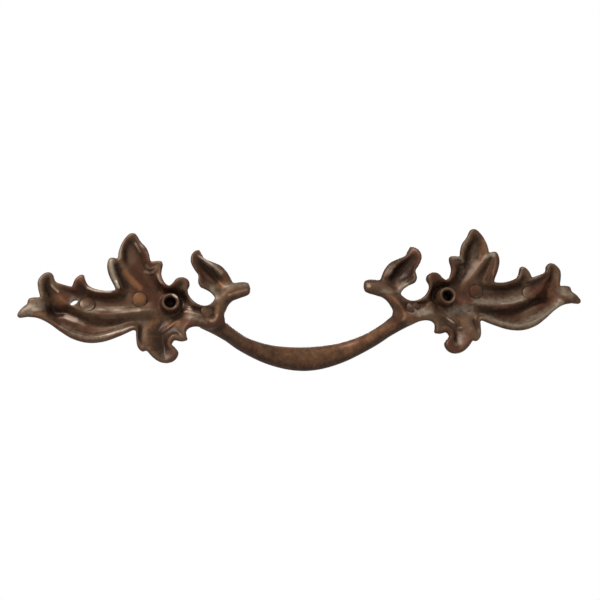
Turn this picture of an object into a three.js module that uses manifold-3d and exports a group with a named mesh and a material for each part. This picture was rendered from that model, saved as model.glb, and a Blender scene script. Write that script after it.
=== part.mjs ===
// Drawer handle with two leaf plates and a drooping grip, cast in one piece.
// Millimetres. X runs along the handle, +Z is up, and the front faces -Y.
// The back bears on the drawer front at Y = 0. The origin is midway between the two screw bosses.
import * as THREE from "three";
import { mergeVertices } from "three/addons/utils/BufferGeometryUtils.js";
import Module from "manifold-3d";

// Driving dimensions
const bossSpacing = 101.6;
const leafReach = 52.6;
const leafRise = 25.8;
const leafDrop = 21.4;
const neckReach = 24;
const rimSetback = 0.8;
const rimWidth = 0.9;
const rimThickness = 2.7;
const hollowDepth = 7.2;
const wallFoot = 1.3;
const neckSetback = 6.4;
const bossFaceRadius = 3.15;
const bossRootRadius = 3.55;
const boreRadius = 1.75;
const boreDepth = 6.5;
const chamferRadius = 2.3;
const discRadius = 2.4;
const discHeight = 0.45;
const gripDrop = 18.9;
const gripProjection = 25.4;
const gripWidth = 9.2;
const gripWaistWidth = 5.8;
const gripRootWidth = 7.4;
const gripThickness = 6.2;
const gripWaistThickness = 5.5;
const sprigWidth = 5.6;
const sprigThickness = 5.4;
const slotWidth = 1.9;
const slotLength = 3.2;

// Where along the neck the rim starts and ends its fall, and how much the bud's height adds to it
const neckStartU = -6.8;
const neckEndU = -22.8;
const budLift = 0.3;

// Where the grip reaches its waist and its root width, as shares of the way from its middle to its heel
const waistWidthShare = 0.6;
const waistThicknessShare = 0.7;
const rootStartShare = 0.66;
const rootEndShare = 0.9;

// Slopes of the hollow floor beside its wall and of the front beside its edge,
// and the front's share of the hollows' depth
const floorSlope = 1.3;
const edgeSlope = 1.8;
const crownShare = 0.92;

// Fineness of the facets
const reliefStep = 2;
const rimStep = 6;
const outlineStep = 1.5;
const gripSteps = 38;
const sprigSteps = 12;
const sectionSides = 14;
const slotSteps = 4;
const insetShare = 0.9;
const roundSides = 24;

// Y in front of and behind everything, for cutting tools
const ahead = -2 * gripProjection;
const behind = 2;

const halfSpacing = bossSpacing / 2;

// The leaf plate is drawn around its boss, u away from the middle of the handle and v up.
// These are the reaches of that drawing, which the driving dimensions stretch.
const drawn = { reach: 52.6, rise: 25.8, drop: 21.4, neck: 24, hollow: 7.2 };

function placeU(u) {
  return u > 0 ? (u * leafReach) / drawn.reach : (u * neckReach) / drawn.neck;
}

function placeV(v) {
  return v > 0 ? (v * leafRise) / drawn.rise : (v * leafDrop) / drawn.drop;
}

// The plate's outline, one stretch for each leaf or lobe, with a corner where two stretches meet.
const outlineStretches = [
  // outer side of the bud, up to its tip
  [
    [-23, 8.6], [-21.9, 10.9], [-20.9, 12.6], [-18.8, 14.8], [-15.6, 16.2], [-13.2, 17], [-12.2, 18.6],
    [-11, 20.5],
  ],
  // inner side of the bud, down to its heel
  [
    [-11, 20.5], [-9.2, 19.6], [-7.9, 17.6], [-7.8, 15], [-9.2, 12.2], [-10.3, 10.6], [-10.1, 7.8],
    [-10.9, 5.9],
  ],
  [[-10.9, 5.9], [-13.1, 5.1], [-14.8, 4.1], [-16.2, 2.4]],
  // notch between the bud and the hub
  [[-16.2, 2.4], [-14.5, 0.1], [-12.2, -0.9], [-9.5, -0.3], [-7.4, 1.5], [-6.3, 4], [-7.2, 6.6]],
  // hub lobe
  [[-7.2, 6.6], [-6.6, 8.3], [-4.6, 9.3], [-2.4, 8.9], [-1, 7.3], [0.4, 6.2]],
  // inner top lobe
  [[0.4, 6.2], [1.9, 7.6], [2.8, 10.5], [2.2, 14]],
  [[2.2, 14], [2.6, 15.2], [4.3, 15.4], [6.6, 15.2]],
  // top leaf
  [
    [6.6, 15.2], [6.9, 17.5], [7.9, 20.2], [9.9, 22.6], [11.4, 25.2], [12.7, 25.8], [14.2, 25.3],
    [16.3, 22.7], [17.7, 19.3], [18.1, 16.3],
  ],
  // outer top leaf
  [[18.1, 16.3], [19.8, 16.9], [21.3, 16.3], [21.9, 13.5], [21.2, 10.2], [19.5, 6.5], [19, 5.1]],
  // small hook
  [
    [19, 5.1], [22, 4.9], [25.5, 5.5], [28.2, 6.8], [29.3, 8.8], [29.8, 10.6], [31.2, 10.8], [33, 9.3],
    [34.1, 6.6],
  ],
  // large hook
  [
    [34.1, 6.6], [37, 7.5], [39.6, 8.6], [40.2, 10.6], [41.4, 11.9], [43.6, 11.6], [45.6, 9.2], [45.6, 6.2],
    [44.8, 3],
  ],
  // flared tip
  [[44.8, 3], [47, 3.1], [48.8, 2.6], [49.3, 0.8]],
  [[49.3, 0.8], [51.2, -0.7], [52.6, -2.8], [51.9, -4], [49.1, -3.7]],
  // belly of the lower leaf
  [
    [49.1, -3.7], [45.6, -4.3], [42, -6.2], [38, -9.3], [33.8, -12], [28.5, -13.5], [23, -13.1],
    [17.5, -11.2], [13.4, -9.4], [12.3, -9.5],
  ],
  // outer bottom lobe
  [[12.3, -9.5], [12.3, -12], [11.9, -15.2], [10.4, -17], [8.8, -16.7]],
  // bottom lobe
  [
    [8.8, -16.7], [6.6, -19.3], [4.1, -21], [1.2, -21.4], [-1.2, -20.3], [-2.4, -18], [-1.4, -16.2],
    [-0.1, -14.8], [-1.1, -13.3],
  ],
  // inner bottom lobe and the underside of the neck
  [[-1.1, -13.3], [-3.5, -13.9], [-5.8, -13.5]],
  [[-5.8, -13.5], [-5.4, -11.8], [-5.4, -10.1], [-7.2, -8.9], [-10, -8.9], [-13, -9.8]],
  // side of the neck, between the sprig and the grip
  [
    [-13, -9.8], [-16.4, -8.7], [-19.2, -7.3], [-19.8, -5.6], [-19.4, -4], [-19.4, -2.4], [-20.1, -0.8],
    [-21.4, 0.6], [-22.8, 2.6], [-23.6, 5.4], [-23, 8.6],
  ],
];

// The hollows behind the leaves: each point has u, v, depth under the rim and half the hollow's width.
const hollows = [
  // lower leaf, from the hub along the belly and up into the large hook
  [[4.8, -5.6, 4.6, 2.8], [10, -5.7, 5.4, 2.9], [16, -6.3, 6.3, 3.4], [22, -7, 7, 4], [28, -7, 7.2, 4.3],
    [34, -5.4, 7, 4.1], [38.5, -2.7, 7.2, 3.7], [41.3, 0.6, 6.5, 3.2], [42.8, 4, 5, 2.8],
    [43.2, 7.5, 3.8, 2.4], [42.6, 10, 2, 1.7]],
  // upper band, from the hub to the root of the hooks
  [[6, 2.6, 5.2, 3.6], [12, 2.2, 4.8, 4], [19, 2.1, 5, 4.2], [24, 2.1, 5.2, 4.2], [29, 2.6, 5, 3.8],
    [33, 3.8, 4, 2.8], [37, 5.8, 2.6, 1.9]],
  // small hook
  [[29.8, 4, 4.4, 2.4], [31.2, 7.2, 3, 1.8], [31.2, 9.4, 1.5, 1.2]],
  // top leaf
  [[4.6, 3.4, 5, 3], [7.8, 8.8, 5.6, 3.3], [10.6, 13, 6.2, 3.8], [12.4, 17.2, 6, 3.9], [13.1, 20.6, 5, 3.4],
    [12.8, 23.4, 3, 2.2]],
  // outer top leaf
  [
    [13.2, 4.2, 4.6, 2.2], [15.8, 7, 4.6, 2.3], [17.4, 10.6, 4.6, 2.4], [18.6, 13.4, 3.8, 2.1],
    [19.4, 15.2, 2, 1.4],
  ],
  // inner top lobe
  [[3.4, 5, 4.4, 2.2], [4.4, 8.4, 4.4, 2.2], [4.9, 11.6, 4, 2.2], [4.6, 13.8, 2, 1.5]],
  // hub lobe
  [[-0.6, 2, 5.4, 3.2], [-2, 5, 4, 2.3], [-4.2, 7, 2.6, 1.8]],
  // hub around the boss
  [[-1, -1.2, 6.2, 4.6], [3, 0.2, 6, 4.4]],
  // bottom lobe
  [[1.6, -4, 6, 3.8], [3, -9, 6.2, 4.1], [3.4, -13.5, 5.6, 3.9], [2.7, -17, 4.4, 3.1], [2, -19.2, 2.4, 2]],
  // outer bottom lobe
  [[8.8, -7, 4.4, 2.2], [10.1, -10.5, 4.2, 1.9], [10.4, -13.2, 3.2, 1.6], [10.2, -15.2, 1.8, 1.2]],
  // inner bottom lobe
  [[0, -7.5, 4.4, 2.6], [-2.4, -10.3, 3.6, 2.2], [-4, -12.3, 2, 1.4]],
  // neck, up to the disc at its end
  [[-4, -1.2, 5, 3], [-8.4, -2.2, 3.8, 2.9], [-12.8, -3.3, 2.9, 3.2]],
  // bud
  [
    [-18.6, 6.6, 2.6, 2], [-17, 9.6, 4.6, 3.4], [-13.4, 12.6, 4.8, 3.7], [-10.4, 15.8, 3.6, 2.6],
    [-10.2, 18.4, 1.8, 1.5],
  ],
];

// Places of the round ejector marks on the back, in the drawing's u and v
const discPlaces = [[12, 2.4], [31.4, 1.1], [-12.8, -2.9]];

// Place and lean of the slot that is open through one plate
const slotPlace = { u: 33.4, v: 1.3, lean: -0.75 };

// The grip's centre line from its root to the middle, as shares of the span, the drop and the projection
const gripRoot = { u: -14.7, v: -6.5, y: -9.1 };
const gripHeel = { u: -8.5, v: -4.4, y: -6.6 };
const gripCourse = [
  [0.174, 0.29, 0.27],
  [0.311, 0.52, 0.55],
  [0.449, 0.69, 0.76],
  [0.587, 0.825, 0.885],
  [0.725, 0.92, 0.95],
  [0.862, 0.98, 0.987],
];

// The sprig's centre line, from the neck to its blunt end, with its share of the full width
const sprigCourse = [
  [-11.5, -6.6, -6.4, 0.8],
  [-15.2, -5.6, -7, 0.98],
  [-17.1, -2.2, -7.3, 0.98],
  [-18.8, 1.3, -7.8, 1.04],
  [-21.4, 4.1, -8.5, 1.18],
  [-24.2, 5.3, -8.9, 1.12],
  [-26.4, 5.7, -9.1, 0.96],
  [-28.3, 5.9, -9.2, 0.64],
  [-29.4, 5.9, -9.2, 0.24],
];

const wasm = await Module();
wasm.setup();

function solidOf(geometry) {
  const plain = geometry.clone();
  plain.deleteAttribute("normal");
  plain.deleteAttribute("uv");
  const merged = mergeVertices(plain, 1e-4);
  const mesh = new wasm.Mesh({
    numProp: 3,
    vertProperties: new Float32Array(merged.attributes.position.array),
    triVerts: new Uint32Array(merged.index.array),
  });
  return new wasm.Manifold(mesh);
}

function geometryOf(solid) {
  const mesh = solid.getMesh();
  const geometry = new THREE.BufferGeometry();
  geometry.setAttribute("position", new THREE.BufferAttribute(new Float32Array(mesh.vertProperties), 3));
  geometry.setIndex(new THREE.BufferAttribute(new Uint32Array(mesh.triVerts), 1));
  geometry.computeVertexNormals();
  return geometry;
}

// The outline as one list of points, each stretch cut into even steps.
function outlinePoints() {
  const points = [];
  for (const stretch of outlineStretches) {
    const curve = new THREE.SplineCurve(stretch.map(([u, v]) => new THREE.Vector2(placeU(u), placeV(v))));
    const steps = Math.max(2, Math.round(curve.getLength() / outlineStep));
    points.push(...curve.getSpacedPoints(steps).slice(0, steps));
  }
  return points;
}

const outline = outlinePoints();

// Distance from a point to a segment, and the share of the way along it.
function toSegment(x, z, a, b) {
  const dx = b.x - a.x;
  const dz = b.y - a.y;
  const along = ((x - a.x) * dx + (z - a.y) * dz) / (dx * dx + dz * dz);
  const share = THREE.MathUtils.clamp(along, 0, 1);
  return { distance: Math.hypot(x - a.x - share * dx, z - a.y - share * dz), share };
}

// Distance inside the outline, negative outside it.
function insideOutline(u, v) {
  let nearest = Infinity;
  let inside = false;
  outline.forEach((a, i) => {
    const b = outline[(i + 1) % outline.length];
    nearest = Math.min(nearest, toSegment(u, v, a, b).distance);
    const crosses = a.y > v !== b.y > v;
    if (crosses && u < a.x + ((v - a.y) * (b.x - a.x)) / (b.y - a.y)) inside = !inside;
  });
  return inside ? nearest : -nearest;
}

// Each hollow as points along a smooth course, with its depth and half width.
const courses = hollows.map((points) => {
  const places = points.map(([u, v, depth]) => new THREE.Vector3(placeU(u), placeV(v), depth));
  const path = new THREE.CatmullRomCurve3(places);
  const widths = new THREE.SplineCurve(points.map(([, , , half], i) => new THREE.Vector2(i, half)));
  const steps = 3 * (points.length - 1);
  return Array.from({ length: steps + 1 }, (_, i) => {
    const at = path.getPoint(i / steps);
    const depth = (at.z * hollowDepth) / drawn.hollow;
    return { x: at.x, y: at.y, depth, half: widths.getPoint(i / steps).y };
  });
});

// Depth of the deepest hollow over a point; widen gives the same forms seen from the front.
function hollowAt(u, v, widen) {
  let deepest = 0;
  for (const course of courses) {
    for (let i = 1; i < course.length; i += 1) {
      const a = course[i - 1];
      const b = course[i];
      const { distance, share } = toSegment(u, v, a, b);
      const half = a.half + share * (b.half - a.half) + widen;
      const depth = a.depth + share * (b.depth - a.depth);
      deepest = Math.max(deepest, depth * (1 - (distance / half) ** 2));
    }
  }
  return deepest;
}

// Level of the rim, which leaves the drawer front along the neck and out to the bud's tip.
function rimLevel(u, v) {
  const alongNeck = -u + budLift * Math.max(0, v);
  const fall = THREE.MathUtils.smoothstep(alongNeck, -placeU(neckStartU), -placeU(neckEndU));
  return -rimSetback - neckSetback * fall;
}

// Floor of the hollows: under the rim's inner wall it slopes down, then it follows the leaves.
function floorAt(u, v) {
  const inside = insideOutline(u, v);
  const wallLimit = wallFoot + floorSlope * Math.max(0, inside - rimWidth);
  return rimLevel(u, v) - Math.min(hollowAt(u, v, 0), wallLimit);
}

// Front face: the same leaves swelling forward, back to the rim's own thickness at the edges.
function frontAt(u, v) {
  const edgeLimit = edgeSlope * Math.max(0, insideOutline(u, v) + rimWidth / 4);
  const swell = Math.min(hollowAt(u, v, rimThickness / 3), edgeLimit);
  return rimLevel(u, v) - rimThickness - crownShare * swell;
}

// A slab over the whole plate, cut into squares of the given step, whose two faces take given heights.
function slab(step, backHeight, frontHeight) {
  const box = new THREE.Box2().setFromPoints(outline).expandByScalar(reliefStep);
  const size = box.getSize(new THREE.Vector2());
  const middle = box.getCenter(new THREE.Vector2());
  const columns = Math.round(size.x / step);
  const rows = Math.round(size.y / step);
  const sheet = new THREE.BoxGeometry(size.x, 1, size.y, columns, 1, rows);
  const at = sheet.attributes.position;
  for (let i = 0; i < at.count; i += 1) {
    const u = at.getX(i) + middle.x;
    const v = at.getZ(i) + middle.y;
    at.setXYZ(i, u + halfSpacing, at.getY(i) > 0 ? backHeight(u, v) : frontHeight(u, v), v);
  }
  return solidOf(sheet);
}

// A flat shape stood up in X and Z and extruded through Y, past everything on both sides.
function uprightPrism(points) {
  const shape = new THREE.Shape(points.map((p) => new THREE.Vector2(p.x + halfSpacing, p.y)));
  const geometry = new THREE.ExtrudeGeometry(shape, { depth: behind - ahead, bevelEnabled: false, steps: 1 });
  geometry.rotateX(Math.PI / 2);
  geometry.translate(0, behind, 0);
  return solidOf(geometry);
}

// The outline moved inwards, without the points that would land too near another side.
function insetOutline(distance) {
  const count = outline.length;
  const moved = outline.map((p, i) => {
    const along = outline[(i + 1) % count].clone().sub(outline[(i + count - 1) % count]).normalize();
    return new THREE.Vector2(p.x + along.y * distance, p.y - along.x * distance);
  });
  return moved.filter((p) => insideOutline(p.x, p.y) > insetShare * distance);
}

function leafPlate() {
  const front = slab(reliefStep, () => behind, frontAt);
  const rim = slab(rimStep, rimLevel, () => ahead);
  const hollow = slab(reliefStep, () => behind, floorAt).intersect(uprightPrism(insetOutline(rimWidth)));
  return uprightPrism(outline).intersect(front).intersect(rim).subtract(hollow);
}

// A turned solid about a boss axis: pairs of radius and Y, from the front to the back.
function turned(pairs, u, v) {
  const lathe = new THREE.LatheGeometry(pairs.map(([r, y]) => new THREE.Vector2(r, y)), roundSides);
  lathe.translate(halfSpacing + u, 0, v);
  return solidOf(lathe);
}

const hubFloor = () => floorAt(placeU(0), placeV(0));

function boss() {
  const root = hubFloor() - rimThickness / 2;
  return turned([[0, root], [bossRootRadius, root], [bossFaceRadius, 0], [0, 0]], 0, 0);
}

function bossBore() {
  const chamfer = chamferRadius - boreRadius;
  const drillPoint = boreRadius / 2;
  const profile = [
    [0, -boreDepth - drillPoint],
    [boreRadius, -boreDepth],
    [boreRadius, -chamfer],
    [chamferRadius, 0],
    [chamferRadius, behind],
    [0, behind],
  ];
  return turned(profile, 0, 0);
}

function disc(u, v) {
  const foot = floorAt(u, v) - rimThickness / 2;
  const top = floorAt(u, v) + discHeight;
  return turned([[0, foot], [discRadius, foot], [discRadius, top], [0, top]], u, v);
}

function slot() {
  const shape = new THREE.Shape();
  shape.absellipse(0, 0, slotWidth / 2, slotLength / 2, 0, 2 * Math.PI, false, slotPlace.lean);
  const round = new THREE.Shape(shape.getPoints(slotSteps).slice(1));
  const prism = new THREE.ExtrudeGeometry(round, { depth: behind - ahead, bevelEnabled: false });
  prism.rotateX(Math.PI / 2);
  prism.translate(halfSpacing + placeU(slotPlace.u), behind, placeV(slotPlace.v));
  return solidOf(prism);
}

// A long rounded body: an extruded round section laid along a curve, with a width and thickness at each share of it.
function roundedBody(curve, steps, widthAt, thicknessAt) {
  const section = new THREE.Shape();
  section.absarc(0, 0, 1, 0, 2 * Math.PI, false);
  const sides = new THREE.Shape(section.getSpacedPoints(sectionSides).slice(1));
  const body = new THREE.ExtrudeGeometry(sides, { depth: 1, steps, bevelEnabled: false });
  const at = body.attributes.position;
  const back = new THREE.Vector3(0, 1, 0);
  for (let i = 0; i < at.count; i += 1) {
    const share = THREE.MathUtils.clamp(at.getZ(i), 0, 1);
    const centre = curve.getPoint(share);
    const along = curve.getTangent(share);
    const across = new THREE.Vector3().crossVectors(back, along).normalize();
    const outward = new THREE.Vector3().crossVectors(along, across);
    centre.addScaledVector(across, (at.getX(i) * widthAt(share)) / 2);
    centre.addScaledVector(outward, (at.getY(i) * thicknessAt(share)) / 2);
    at.setXYZ(i, centre.x, centre.y, centre.z);
  }
  return solidOf(body);
}

function gripCurve() {
  const root = new THREE.Vector3(halfSpacing + placeU(gripRoot.u), gripRoot.y, placeV(gripRoot.v));
  const heel = new THREE.Vector3(halfSpacing + placeU(gripHeel.u), gripHeel.y, placeV(gripHeel.v));
  const middle = new THREE.Vector3(0, gripThickness / 2 - gripProjection, -gripDrop);
  const half = gripCourse.map(([span, drop, out]) => new THREE.Vector3(
    root.x + span * (middle.x - root.x),
    root.y + out * (middle.y - root.y),
    root.z + drop * (middle.z - root.z),
  ));
  const right = [heel, root, ...half];
  const left = right.map((p) => new THREE.Vector3(-p.x, p.y, p.z)).reverse();
  return new THREE.CatmullRomCurve3([...right, middle, ...left]);
}

function grip() {
  const fromMiddle = (share) => Math.abs(2 * share - 1);
  const widthAt = (share) => {
    const toWaist = THREE.MathUtils.smoothstep(fromMiddle(share), 0, waistWidthShare);
    const toRoot = THREE.MathUtils.smoothstep(fromMiddle(share), rootStartShare, rootEndShare);
    return THREE.MathUtils.lerp(THREE.MathUtils.lerp(gripWidth, gripWaistWidth, toWaist), gripRootWidth, toRoot);
  };
  const thicknessAt = (share) => {
    const toWaist = THREE.MathUtils.smoothstep(fromMiddle(share), 0, waistThicknessShare);
    return THREE.MathUtils.lerp(gripThickness, gripWaistThickness, toWaist);
  };
  return roundedBody(gripCurve(), gripSteps, widthAt, thicknessAt);
}

function sprig() {
  const points = sprigCourse.map(([u, v, y]) => new THREE.Vector3(halfSpacing + placeU(u), y, placeV(v)));
  const shares = new THREE.SplineCurve(sprigCourse.map(([, , , share], i) => new THREE.Vector2(i, share)));
  const curve = new THREE.CatmullRomCurve3(points);
  const widthAt = (share) => sprigWidth * shares.getPoint(share).y;
  const thicknessAt = (share) => sprigThickness * shares.getPoint(share).y;
  return roundedBody(curve, sprigSteps, widthAt, thicknessAt);
}

function sideCasting(open) {
  let side = leafPlate().add(sprig()).add(boss());
  for (const [u, v] of discPlaces) side = side.add(disc(placeU(u), placeV(v)));
  side = side.subtract(bossBore());
  return open ? side.subtract(slot()) : side;
}

function mirrored(solid) {
  const geometry = geometryOf(solid);
  geometry.scale(-1, 1, 1);
  const index = geometry.index.array;
  for (let i = 0; i < index.length; i += 3) [index[i + 1], index[i + 2]] = [index[i + 2], index[i + 1]];
  return solidOf(geometry);
}

const agedCopper = new THREE.MeshStandardMaterial({ color: 0x5a3a2a, metalness: 0.9, roughness: 0.42 });

const casting = sideCasting(true).add(mirrored(sideCasting(false))).add(grip());
const handle = new THREE.Mesh(geometryOf(casting), agedCopper);
handle.name = "handle_casting";

const part = new THREE.Group();
part.add(handle);

export default part;
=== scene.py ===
"""Drawer pull with two leafy end plates and a drooping grip, in antiqued copper, seen from behind.

The handle is one casting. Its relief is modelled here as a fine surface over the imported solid.
Sizes below are in millimetres, in the part's own frame: X along the handle, Z up, the back towards +Y.
"""

import functools
import math

import bmesh
import bpy
import numpy as np
from mathutils import Euler, Matrix, Vector


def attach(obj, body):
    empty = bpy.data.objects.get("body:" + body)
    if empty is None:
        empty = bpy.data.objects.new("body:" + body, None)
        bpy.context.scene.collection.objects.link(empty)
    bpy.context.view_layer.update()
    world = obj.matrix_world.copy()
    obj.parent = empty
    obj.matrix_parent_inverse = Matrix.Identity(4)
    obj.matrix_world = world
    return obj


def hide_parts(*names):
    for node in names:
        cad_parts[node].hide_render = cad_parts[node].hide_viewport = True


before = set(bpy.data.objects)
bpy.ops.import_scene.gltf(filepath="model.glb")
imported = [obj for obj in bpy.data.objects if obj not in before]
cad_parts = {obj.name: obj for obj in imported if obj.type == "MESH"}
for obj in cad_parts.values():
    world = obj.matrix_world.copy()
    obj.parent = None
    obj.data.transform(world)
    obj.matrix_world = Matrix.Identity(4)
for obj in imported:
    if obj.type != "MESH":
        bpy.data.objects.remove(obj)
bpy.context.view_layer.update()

bl_info = {
    "name": "Leafy Drawer Pull",
    "version": (1, 0, 0),
    "blender": (4, 5, 0),
    "location": "View3D > Sidebar > Drawer Pull",
    "description": "Models and finishes a cast drawer pull with leaf plates",
    "category": "Add Mesh",
}

NODE = "handle_casting"
BODY = "root"
MM = 0.001

# Plate and rim
HALF_SPACING = 50.8
RIM_SETBACK = 0.8
RIM_WIDTH = 1.0
RIM_THICKNESS = 2.7
RIM_ROUND = 1.1
FRONT_ROUND = 1.2
RIM_CROWN = 0.15
RIM_CROWN_INSET = 1.3
NECK_SETBACK = 6.4
NECK_START_U = -6.8
NECK_END_U = -22.8
BUD_LIFT = 0.3
WALL_LEAST = 1.1
EDGE_SLOPE = 1.8
CROWN_SHARE = 0.92
LEAF_BLEND = 0.8
MOUNT_CLEARANCE = 0.1
MOUNT_BLEND = 0.3

# Shallow flutes along the leaves' fronts, and the depth of leaf over which they set in
FLUTE_HEIGHT = 0.16
FLUTE_COUNT = 2
FLUTE_START = (1, 3)

# Boss, and its foot as distance past the root's radius and height over the floor
BOSS_FACE_RADIUS = 3.05
BOSS_ROOT_RADIUS = 3.55
BOSS_SINK = 1
BOSS_BEVEL = 0.2
BOSS_BEVEL_DEPTH = 0.25
BOSS_FLARE = 0.02
FOOT_PROFILE = ((0.5, -1), (-0.1, 1.4), (-0.4, 2.5))

# Screw hole
BORE_RADIUS = 1.9
BORE_DEPTH = 6.5
CHAMFER_RADIUS = 2.5
THREAD_PITCH = 0.79
THREAD_DEPTH = 0.26
THREAD_RUNOUT = 0.3
THREAD_STEP = 0.09
CUTTER_OVERRUN = 0.3

# Round pads and slot
DISC_HEIGHT = 0.22
DISC_DEPTH = 1.2
DISC_BEVEL = 0.12
DISC_BEVEL_DEPTH = 0.1
SLOT_WIDTH = 1.9
SLOT_LENGTH = 3.2
SLOT_PLACE = (33.4, 1.3)
SLOT_LEAN = 0.75
SLOT_CUT_DEPTH = 30
SLOT_CUT_MIDDLE = -6

# How firmly the skin of the back is held by its lines and its rim's crown, and how it is made smooth
LINE_HOLD = 20
CROWN_HOLD = 0.5
CROWN_REACH = 0.6
SKIN_STEPS = (2.4, 1.2, 0.6, 0.3)
SKIN_MARGIN = 3
SKIN_PASSES = 200
SKIN_SOFTENING = 4
FOLD_FADE = 0.3
FOLD_INSET = (0.5, 1.6)

# Grip and sprigs; a way of 0 is the middle of the grip and 1 its end
GRIP_DROP = 18.9
GRIP_PROJECTION = 25.4
GRIP_WIDTH = 9.2
GRIP_WAIST_WIDTH = 5.8
GRIP_WAIST_THICKNESS = 0.95 * GRIP_WAIST_WIDTH
GRIP_ROOT_WIDTH = 7.4
GRIP_THICKNESS = 6.2
WAIST_WAY = (0, 0.6)
THIN_WAY = (0, 0.7)
ROOT_WAY = (0.66, 0.9)
HEEL_WAY = (0.93, 1)
HEEL_TAPER = 0.55
CREST_WAY = (0.35, 0.75)
GRIP_CREST = 0.6
SPRIG_WIDTH = 5.6
SPRIG_THICKNESS = 5.4
SPRIG_CREST = 1.8

# Fineness of curves and meshes
FINE_STEP = 0.15
OUTLINE_STEP = 0.3
COURSE_STEP = 0.4
ROUGH_STEP = 0.5
CURVE_STEP = 0.8
PLATE_STEP = 0.36
GRIP_RINGS = 220
SPRIG_RINGS = 60
BODY_SIDES = 40
TURNED_SIDES = 64
DISC_SIDES = 48
SLOT_SIDES = 32
DISC_PROBES = 24
FOOT_PROBES = 17
MERGE_DISTANCE = 0.0005
WALL_TOLERANCE = 0.01
MOST_TRIANGLES = 190000
SHARP_ANGLE = 50

# Where the patina, the painted shade and the painted highlights lie: ranges of the surface's direction, of
# its height and of its place on the grip
BACK_FACING = (-0.3, 0.1)
RIM_FACING = (0.3, 0.85)
RIM_RIDGE = (0.5, 0.6)
UNDER_FACING = (0.1, 0.9)
TOP_FACING = (0.55, 0.95)
BORE_FACING = -0.5
BORE_PAINT_INSET = 0.1
GRIP_PAINT_TOP = (6, 9)
GRIP_PAINT_ENDS = (34, 39)
GRIP_HIGHLIGHT_ENDS = (10, 36)

# How strongly it lies there: painted shade under downward faces, the grip's own darker and warmer colour,
# and painted highlights along the grip's top and the pads' edges
UNDER_SHADE = 0.5
GRIP_DARK = 0.45
GRIP_UNDER_SHADE = 0.55
GRIP_WARM = 0.55
GRIP_TOP_HIGHLIGHT = 0.85
HIGHLIGHT_CLEARS_DARK = 0.8
PAD_EDGE_RUB_AND_HIGHLIGHT = 0.6

# Only what lies behind this level belongs to a pad.
# The pad's top and the rings at its edge are shares of its radius.
PAD_DEPTH = -7.5
PAD_TOP = 0.97
PAD_GROOVE = 1.07
PAD_EDGE = 0.9
PAD_LINE = 0.07
PAD_KEPT = 1.3
FAR_FROM_PADS = 9

# Strokes fade with the distance from their course; past this many radii they are gone.
# A stroke with one place is a spot, as long as this.
STROKE_REACH = 2.5
SPOT_LENGTH = 0.001
SOFT_SHARE = 0.5

# How far the surface stands out of its surroundings: name, passes and the height that counts as full
RELIEFS = (("ridge", 8, 0.12), ("relief", 70, 0.9))

# The plate's outline around its boss, u away from the middle of the handle and v up.
# One stretch for each leaf or lobe, with a corner where two stretches meet.
OUTLINE = (
    # outer side of the bud, up to its tip
    ((-23, 8.6), (-21.9, 10.9), (-20.9, 12.6), (-18.8, 14.8), (-15.6, 16.2), (-13.2, 17), (-12.2, 18.6),
     (-11, 20.5)),
    # inner side of the bud, down to its heel
    ((-11, 20.5), (-9.2, 19.6), (-7.9, 17.6), (-7.8, 15), (-9.2, 12.2), (-10.3, 10.6), (-10.1, 7.8),
     (-10.9, 5.9)),
    ((-10.9, 5.9), (-13.1, 5.1), (-14.8, 4.1), (-16.2, 2.4)),
    # notch between the bud and the hub
    ((-16.2, 2.4), (-14.5, 0.1), (-12.2, -0.9), (-9.5, -0.3), (-7.4, 1.5), (-6.3, 4), (-7.2, 6.6)),
    # hub lobe
    ((-7.2, 6.6), (-6.6, 8.3), (-4.6, 9.3), (-2.4, 8.9), (-1, 7.3), (0.4, 6.2)),
    # inner top lobe
    ((0.4, 6.2), (1.9, 7.6), (2.8, 10.5), (2.2, 14)),
    ((2.2, 14), (2.6, 15.2), (4.3, 15.4), (6.6, 15.2)),
    # top leaf
    ((6.6, 15.2), (6.9, 17.5), (7.9, 20.2), (9.9, 22.6), (11.4, 25.2), (12.7, 25.8), (14.2, 25.3),
     (16.3, 22.7), (17.7, 19.3), (18.1, 16.3)),
    # outer top leaf
    ((18.1, 16.3), (19.8, 16.9), (21.3, 16.3), (21.9, 13.5), (21.2, 10.2), (19.5, 6.5), (19, 5.1)),
    # small hook
    ((19, 5.1), (22, 4.9), (25.5, 5.5), (28.2, 6.8), (29.3, 8.8), (29.8, 10.6), (31.2, 10.8), (33, 9.3),
     (34.1, 6.6)),
    # large hook
    ((34.1, 6.6), (37, 7.5), (39.6, 8.6), (40.2, 10.6), (41.4, 11.9), (43.6, 11.6), (45.6, 9.2),
     (45.6, 6.2), (44.8, 3)),
    # flared tip
    ((44.8, 3), (47, 3.1), (48.8, 2.6), (49.3, 0.8)),
    ((49.3, 0.8), (51.2, -0.7), (52.6, -2.8), (51.9, -4), (49.1, -3.7)),
    # belly of the lower leaf
    ((49.1, -3.7), (45.6, -4.3), (42, -6.2), (38, -9.3), (33.8, -12), (28.5, -13.5), (23, -13.1),
     (17.5, -11.2), (13.4, -9.4), (12.3, -9.5)),
    # outer bottom lobe
    ((12.3, -9.5), (12.3, -12), (11.9, -15.2), (10.4, -17), (8.8, -16.7)),
    # bottom lobe
    ((8.8, -16.7), (6.6, -19.3), (4.1, -21), (1.2, -21.4), (-1.2, -20.3), (-2.4, -18), (-1.4, -16.2),
     (-0.1, -14.8), (-1.1, -13.3)),
    # inner bottom lobe and the underside of the neck
    ((-1.1, -13.3), (-3.5, -13.9), (-5.8, -13.5)),
    ((-5.8, -13.5), (-5.4, -11.8), (-5.4, -10.1), (-7.2, -8.9), (-10, -8.9), (-13, -9.8)),
    # side of the neck, between the sprig and the grip
    ((-13, -9.8), (-16.4, -8.7), (-19.2, -7.3), (-19.8, -5.6), (-19.4, -4), (-19.4, -2.4),
     (-20.1, -0.8), (-21.4, 0.6), (-22.8, 2.6), (-23.6, 5.4), (-23, 8.6)),
)

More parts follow.
